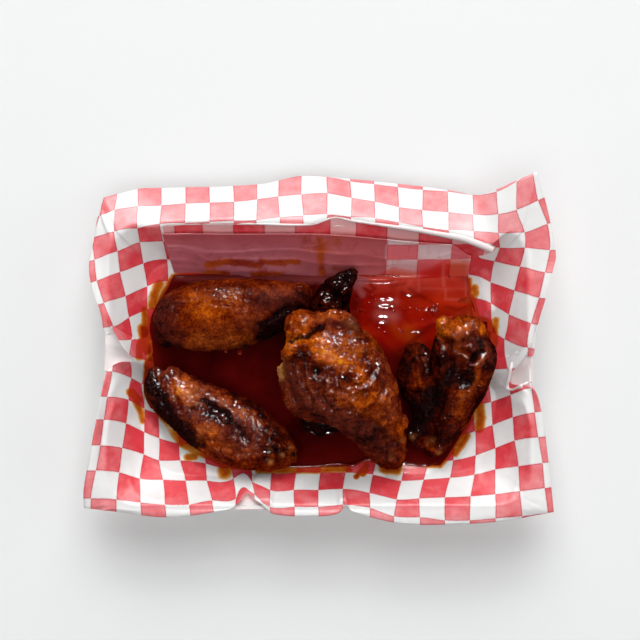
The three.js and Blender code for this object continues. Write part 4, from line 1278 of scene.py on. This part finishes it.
# Both ends, the crease where the printed part begins, how much wider it is at the top, and its line up the wall:
# y and rise
FLAP_LEFT, FLAP_RIGHT = -71.5, 75.6
FLAP_CREASE = 34.0
FLAP_SPLAY = 5.5
FLAP_PROFILE = ((41, 0.6), (48, 6.2), (55.5, 15.5), (61.5, 22.5), (64.4, 26.4))
FLAP_GAP = 0.5
# How far its right part sinks, and how much further its right end does
FLAP_SAG, FLAP_END_SAG = 5.0, 5.0
# Where the film of sauce ends on it: x and y
FILM_EDGE = [(-5, 38), (4, 44), (19.5, 43.7), (30, 46.5), (36.6, 49.5), (50, 48), (57, 50), (63.6, 52.8), (76, 52.5)]
# Brown smears on it: half width, strength and a line in plan
SMEARS = [(1.5, 0.9, [(-56, 51), (-46, 52.5), (-37, 51.8), (-30, 51)]),
          (1.3, 0.8, [(-29, 52.3), (-20, 52), (-10, 52.6)]),
          (1.7, 0.75, [(-62, 45), (-55, 48), (-46, 47)]), (1.7, 0.85, [(-33, 46.5), (-26, 47.5), (-18, 46.5)]),
          (2.0, 0.7, [(0.8, 62), (1.2, 54), (2, 44)]), (3.2, 0.45, [(-6, 60.5), (2, 59), (9, 61)]),
          (1.7, 0.7, [(-44, 44.5), (-20, 44.5)]), (1.2, 0.6, [(-72, 43), (-62, 43.5)]), (1.2, 0.6, [(8, 50), (15, 47)])]
FLAP_COLUMNS = 150
FLAP_ROWS = 40


def build_flap():
    """Sheet lying on the rear wall, from just under the crest down into the sauce."""
    keys = [np.array([0.0, y, rise]) for y, rise in FLAP_PROFILE]
    profile, reach, _ = smooth_profile(keys, FLAP_ROWS)
    share = reach / reach[-1]
    upper, heights = [], []
    for c in range(FLAP_COLUMNS + 1):
        t = c / FLAP_COLUMNS
        sag = FLAP_SAG * smoothstep(0.45, 1.0, t) + FLAP_END_SAG * smoothstep(0.93, 1.0, t)
        for (_, y, rise), s in zip(profile, share):
            x = FLAP_LEFT + (FLAP_RIGHT - FLAP_LEFT) * t - s * FLAP_SPLAY * (1 - t)
            upper.append((x, y - sag * s, FLOOR_Z + FLAP_GAP + rise - 0.6 * sag * s))
            heights.append(s)
    upper = np.array(upper)
    heights = np.array(heights)
    flat = warped(upper, 14.0, 2.0, 81) * np.array([0.16, 1.0, 1.0])
    upper[:, 2] += 0.9 * (ridged(flat, 6.0, 83) ** 4 - 0.25) + 0.45 * fbm(upper, 15.0, 2, 89) + 0.35
    upper[:, 2] += 0.7 * np.exp(-((upper[:, 0] - FLAP_CREASE) / 0.9) ** 2) * smoothstep(0.35, 0.6, heights)
    upper[:, 2] += 0.5 * np.exp(-((heights - 0.985) / 0.02) ** 2)
    points = thickened(upper, 0, 0.1, PAPER)
    obj = make_object("rear_flap_sheet", points, slab_faces(FLAP_COLUMNS + 1, FLAP_ROWS))
    store_print(obj, "print", inner_print(points))
    film_top = np.interp(points[:, 0], *zip(*FILM_EDGE))
    paint(obj, "smear", strokes(points, SMEARS))
    paint(obj, "film", np.clip((film_top + 1.5 - points[:, 1]) / 5.0, 0.0, 1.0))
    paint(obj, "pale_lines", strokes(points, PALE_LINES))
    paint(obj, "ruddy", strokes(points, [(14.0, 1.0, [(4, 62), (28, 52)])]))
    paint(obj, "printed", np.clip((points[:, 0] - FLAP_CREASE) / 2.0 + 0.5, 0.0, 1.0))
    paint(obj, "up_wall", np.tile(heights, 2))
    return obj


def flap_material():
    """Paper soaked with fat: mauve at the left, its print showing at the right with painted light and shade, and brown
    smears of sauce.
    """
    material, tree, shader, vector = new_material("greasy_paper")
    up_wall = attribute(tree, "up_wall")
    cloudy = noise(tree, vector, 55.0, 4.0, 0.6)
    grain = noise(tree, vector, 500.0, 4.0, 0.6)
    mauve = ramp(tree, cloudy, (0.3, (0.50, 0.115, 0.145)), (0.7, (0.64, 0.175, 0.205)))
    mauve = mix(tree, ramp(tree, up_wall, (0.72, 0.0), (0.97, 0.7)), mauve, (0.62, 0.10, 0.115))
    mauve = tint(tree, "ruddy", 0.6, mauve, (0.74, 0.13, 0.13))
    # Higher up the wall the ink and white are lighter, a painted light where the wall is lit, and the whites are pink,
    # painted shade and red bounce light from the ink
    ink = ramp(tree, up_wall, (0.3, (0.86, 0.08, 0.095)), (0.7, (0.98, 0.21, 0.24)))
    white = ramp(tree, up_wall, (0.3, (0.92, 0.44, 0.46)), (0.7, (0.99, 0.72, 0.74)))
    checks, joint = mottled_print(tree, vector, "print")
    ink = mix(tree, maths(tree, "MULTIPLY", joint, 0.35), ink, (0.50, 0.03, 0.05))
    colour = mix(tree, checks, white, ink)
    colour = mix(tree, attribute(tree, "printed"), mauve, colour)
    film = varied(tree, attribute(tree, "film"), cloudy, 0.6)
    film = ramp(tree, film, (0.1, 1.0), (0.3, (0.95, 0.5, 0.42)), (0.75, (0.85, 0.20, 0.11)))
    colour = mix(tree, 1.0, colour, film, "MULTIPLY")
    colour = tint(tree, "pale_lines", 0.45, colour, (0.86, 0.24, 0.20))
    streaky = noise(tree, vector, 190.0, 5.0, 0.7, 1.0)
    smear = varied(tree, attribute(tree, "smear"), streaky, 1.6)
    blotches = noise(tree, vector, 70.0, 3.0, 0.6)
    brown = ramp(tree, blotches, (0.4, (0.34, 0.026, 0.009)), (0.6, (0.58, 0.085, 0.012)))
    colour = mix(tree, ramp(tree, smear, (0.12, 0.0), (0.62, 1.0)), colour, brown)
    feed(tree, shader, {
        "Base Color": colour, "Roughness": ramp(tree, cloudy, (0.3, 0.35), (0.7, 0.5)),
        "Normal": bump(tree, grain, 0.1, 0.0003), "Specular IOR Level": 0.25,
        "Coat Weight": 0.35, "Coat Roughness": 0.12})
    return material


# ---------------------------------------------------------------- paper and board materials

def mottled_print(tree, vector, layer):
    uv = add(tree, "ShaderNodeUVMap", uv_map=layer).outputs[0]
    wobble = add(tree, "ShaderNodeTexNoise", {"Vector": vector, "Scale": 900.0, "Detail": 2.0}).outputs["Color"]
    offset = add(tree, "ShaderNodeVectorMath", {0: wobble, 1: (0.5, 0.5, 0.5)}, operation="SUBTRACT").outputs[0]
    offset = add(tree, "ShaderNodeVectorMath", {0: offset, "Scale": 0.03}, operation="SCALE").outputs[0]
    place = add(tree, "ShaderNodeVectorMath", {0: uv, 1: offset}, operation="ADD").outputs[0]
    place = add(tree, "ShaderNodeVectorMath", {0: place, 1: (41.0, 40.0, 0.5)}, operation="ADD").outputs[0]
    checks = add(tree, "ShaderNodeTexChecker", {"Vector": place, "Scale": 1.0, "Color1": opaque(0.0),
                                                "Color2": opaque(1.0)}).outputs["Color"]
    whole = add(tree, "ShaderNodeVectorMath", {0: place}, operation="FRACTION").outputs[0]
    parts = add(tree, "ShaderNodeSeparateXYZ", {0: whole})
    gaps = [maths(tree, "ABSOLUTE", maths(tree, "SUBTRACT", parts.outputs[k], 0.5)) for k in (0, 1)]
    joint = maths(tree, "MAXIMUM", gaps[0], gaps[1])
    joint = ramp(tree, joint, (0.452, 0.0), (0.474, 1.0))
    return maths(tree, "MAXIMUM", checks, maths(tree, "MULTIPLY", joint, 0.16)), joint


def print_material():
    """Red and white checked paper stained with sauce, its ink washed paler by painted sheen on the upper walls and the
    flare.
    """
    material, tree, shader, vector = new_material("checked_paper")
    mottle = noise(tree, vector, 260.0, 4.0, 0.6)
    ink = ramp(tree, mottle, (0.3, (0.80, 0.035, 0.050)), (0.7, (0.86, 0.060, 0.080)))
    # Ink washed out to pink: painted sheen, laid on where the pale attribute says
    painted_sheen_ink = ramp(tree, mottle, (0.3, (0.92, 0.36, 0.38)), (0.7, (0.95, 0.46, 0.47)))
    patchy = noise(tree, vector, 110.0, 3.0, 0.55)
    ink = mix(tree, varied(tree, attribute(tree, "pale"), patchy, 1.1, clamp=True), ink, painted_sheen_ink)
    cloudy = noise(tree, vector, 90.0, 3.0, 0.5)
    white = ramp(tree, cloudy, (0.3, (0.86, 0.85, 0.84)), (0.7, (0.92, 0.91, 0.90)))
    folded = ramp(tree, maths(tree, "ADD", attribute(tree, "inside"), 0.5), (0.49, 0.0), (0.51, 1.0))
    # Inside the crest the whites are tinted pink: painted shade and red bounce light from the ink round them; on
    # unprinted paper the same tint is ink showing through from the far side
    white = mix(tree, maths(tree, "MAXIMUM", folded, attribute(tree, "pink")), white, (0.88, 0.46, 0.46))
    outer, outer_joint = mottled_print(tree, vector, "print")
    inner, inner_joint = mottled_print(tree, vector, "print_inside")
    checks = mix(tree, folded, outer, inner)
    joint = mix(tree, folded, outer_joint, inner_joint)
    ink = mix(tree, maths(tree, "MULTIPLY", joint, 0.55), ink, (0.50, 0.03, 0.06))
    checks = maths(tree, "MULTIPLY", checks, maths(tree, "SUBTRACT", 1.0, attribute(tree, "plain")))
    spread = varied(tree, attribute(tree, "stain"), mottle, 0.5)
    soaked = ramp(tree, spread, (0.15, 1.0), (0.36, (0.92, 0.50, 0.16)), (0.56, (0.78, 0.24, 0.020)),
                  (0.76, (0.64, 0.10, 0.007)), (0.95, (0.42, 0.020, 0.004)))
    white = mix(tree, 1.0, white, soaked, "MULTIPLY")
    ink = mix(tree, ramp(tree, spread, (0.22, 0.0), (0.7, 1.0)), ink, (0.60, 0.040, 0.012))
    colour = mix(tree, checks, white, ink)
    fibre = noise(tree, vector, 1500.0, 3.0, 0.6)
    feed(tree, shader, {
        "Base Color": colour, "Roughness": ramp(tree, spread, (0.36, 0.45), (0.5, 0.2)),
        "Normal": bump(tree, fibre, 0.15, 0.0003), "Specular IOR Level": 0.25,
        "Coat Weight": ramp(tree, spread, (0.3, 0.05), (0.5, 0.12)),
        "Coat Roughness": ramp(tree, spread, (0.36, 0.48), (0.5, 0.2))})
    return material


def board_material():
    """Plain uncoated board of the tray."""
    material, tree, shader, vector = new_material("paperboard")
    cloudy = noise(tree, vector, 120.0, 5.0, 0.6)
    fibre = noise(tree, vector, 900.0, 4.0, 0.7)
    feed(tree, shader, {
        "Base Color": ramp(tree, cloudy, (0.3, (0.86, 0.81, 0.79)), (0.7, (0.92, 0.88, 0.86))),
        "Roughness": ramp(tree, fibre, (0.3, 0.7), (0.7, 0.85)),
        "Normal": bump(tree, fibre, 0.2, 0.0004), "Specular IOR Level": 0.25})
    return material


# ---------------------------------------------------------------- table, lights, camera

CAMERA_ELEVATION = 84.0
CAMERA_DISTANCE = 750.0
CAMERA_AIM = (0.8, 23.5, 12.0)
CAMERA_LENS = 84.26
CAMERA_SENSOR = 36.0
CAMERA_CLIP = 0.01
TABLE_HALF = 6.0
ROOM_COLOUR = (0.95, 0.97, 1.0)
ROOM_LIGHT = 0.02

# Bright panels three in a row: place of the middle one, distance between them, and then as for single ones
ROWS_OF_PANELS = {
    "glint": ((0.0, 2.60, 1.55), 0.80, 0.30, 0.90, 120.0, "gloss"),
    "glint_front": ((0.0, -1.35, 2.45), 0.50, 0.30, 0.35, 55.0, "gloss"),
    "window": ((0.0, 2.62, 1.56), 0.80, 0.56, 1.4, 5.0, "matt"),
}
# Single panels: place, width, height, radiance, and whether they light gloss or matt surfaces only
PANELS = {
    "sky_rear": ((0.0, 2.12, 2.12), 2.4, 1.2, 2.75, "matt"),
    "sky_high": ((0.0, 1.41, 2.65), 2.4, 1.2, 2.2, "matt"),
    "wall_left": ((-2.54, 0.0, 1.18), 3.6, 1.9, 0.40, "matt"),
    "wall_right": ((2.54, 0.0, 1.18), 3.6, 1.9, 0.86, "matt"),
    "sky_left": ((-1.8, 0.0, 2.14), 2.4, 1.4, 0.29, "matt"),
    "sky_right": ((1.8, 0.0, 2.14), 2.4, 1.4, 0.33, "matt"),
    "sky_front": ((0.0, -1.15, 2.54), 2.4, 1.4, 2.15, "matt"),
}


def panel_light(name, place, width, height, radiance, surfaces):
    """Panel that faces the table's middle."""
    data = bpy.data.lights.new(name, "AREA")
    data.shape = "RECTANGLE"
    data.size, data.size_y = width, height
    data.energy = radiance * math.pi * width * height
    obj = bpy.data.objects.new(name, data)
    obj.location = place
    obj.rotation_euler = (-Vector(place)).to_track_quat("-Z", "Y").to_euler()
    obj.visible_glossy = surfaces == "gloss"
    obj.visible_diffuse = surfaces == "matt"
    bpy.context.scene.collection.objects.link(obj)


def build_studio():
    """Table, light and camera."""
    mesh = bpy.data.meshes.new("table")
    corners = [(x * TABLE_HALF, y * TABLE_HALF, 0) for x, y in ((-1, -1), (1, -1), (1, 1), (-1, 1))]
    mesh.from_pydata(corners, [], [(0, 1, 2, 3)])
    table = bpy.data.objects.new("table", mesh)
    bpy.context.scene.collection.objects.link(table)
    material, tree, shader, vector = new_material("table_top")
    cloudy = noise(tree, vector, 3.0, 2.0, 0.5)
    feed(tree, shader, {
        "Base Color": ramp(tree, cloudy, (0.3, (0.88, 0.89, 0.89)), (0.7, (0.90, 0.91, 0.91))),
        "Roughness": 0.8, "Specular IOR Level": 0.25})
    mesh.materials.append(material)

    world = bpy.data.worlds.new("room")
    world.use_nodes = True
    feed(world.node_tree, world.node_tree.nodes["Background"], {"Color": opaque(ROOM_COLOUR), "Strength": ROOM_LIGHT})
    world.cycles_visibility.glossy = False
    bpy.context.scene.world = world
    for name, ((x, y, z), apart, *settings) in ROWS_OF_PANELS.items():
        for place, step in (("_left", -1), ("_middle", 0), ("_right", 1)):
            panel_light(name + place, (x + step * apart, y, z), *settings)
    for name, settings in PANELS.items():
        panel_light(name, *settings)

    elevation = math.radians(CAMERA_ELEVATION)
    aim = Vector(CAMERA_AIM) * MM
    data = bpy.data.cameras.new("camera")
    data.lens = CAMERA_LENS
    data.sensor_width = CAMERA_SENSOR
    data.clip_start = CAMERA_CLIP
    camera = bpy.data.objects.new("camera", data)
    camera.location = aim + CAMERA_DISTANCE * MM * Vector((0, -math.cos(elevation), math.sin(elevation)))
    camera.rotation_euler = (aim - camera.location).to_track_quat("-Z", "Y").to_euler()
    bpy.context.scene.collection.objects.link(camera)
    bpy.context.scene.camera = camera
    bpy.context.scene.view_settings.view_transform = "Standard"


# ---------------------------------------------------------------- the whole serving

build_studio()

sheet, sheet_places = build_sheet()
checked_paper = print_material()
finish_piece(sheet, checked_paper, "checked_paper", "liner")
finish_piece(build_roll("liner_crest_roll", CREST_ROLL, CREST_RINGS), checked_paper, "checked_paper", "liner")
webs = [build_web("liner_web_" + place, *settings) for place, settings in WEBS.items()]
for piece in webs + [build_roll("liner_pleat_roll", resting(PLEAT_ROLL, [sheet] + webs), PLEAT_RINGS)]:
    finish_piece(piece, checked_paper, "checked_paper", "liner")

meat = build_meat()
skin = meat_material()
for node, piece in meat.items():
    finish_piece(piece, skin, "glazed_meat", node)

sauce = build_sauce(sheet_places, list(meat.values()))
hot_sauce = sauce_material()
finish_piece(sauce, hot_sauce, "hot_sauce", "sauce")
flap = build_flap()
for piece in [build_beads(sauce)] + build_rims(sheet, sauce, flap):
    finish_piece(piece, hot_sauce, "hot_sauce", "sauce")
finish_piece(flap, flap_material(), "greasy_paper", "rear_flap")

board = board_material()
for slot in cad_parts["tray"].material_slots:
    slot.material = board
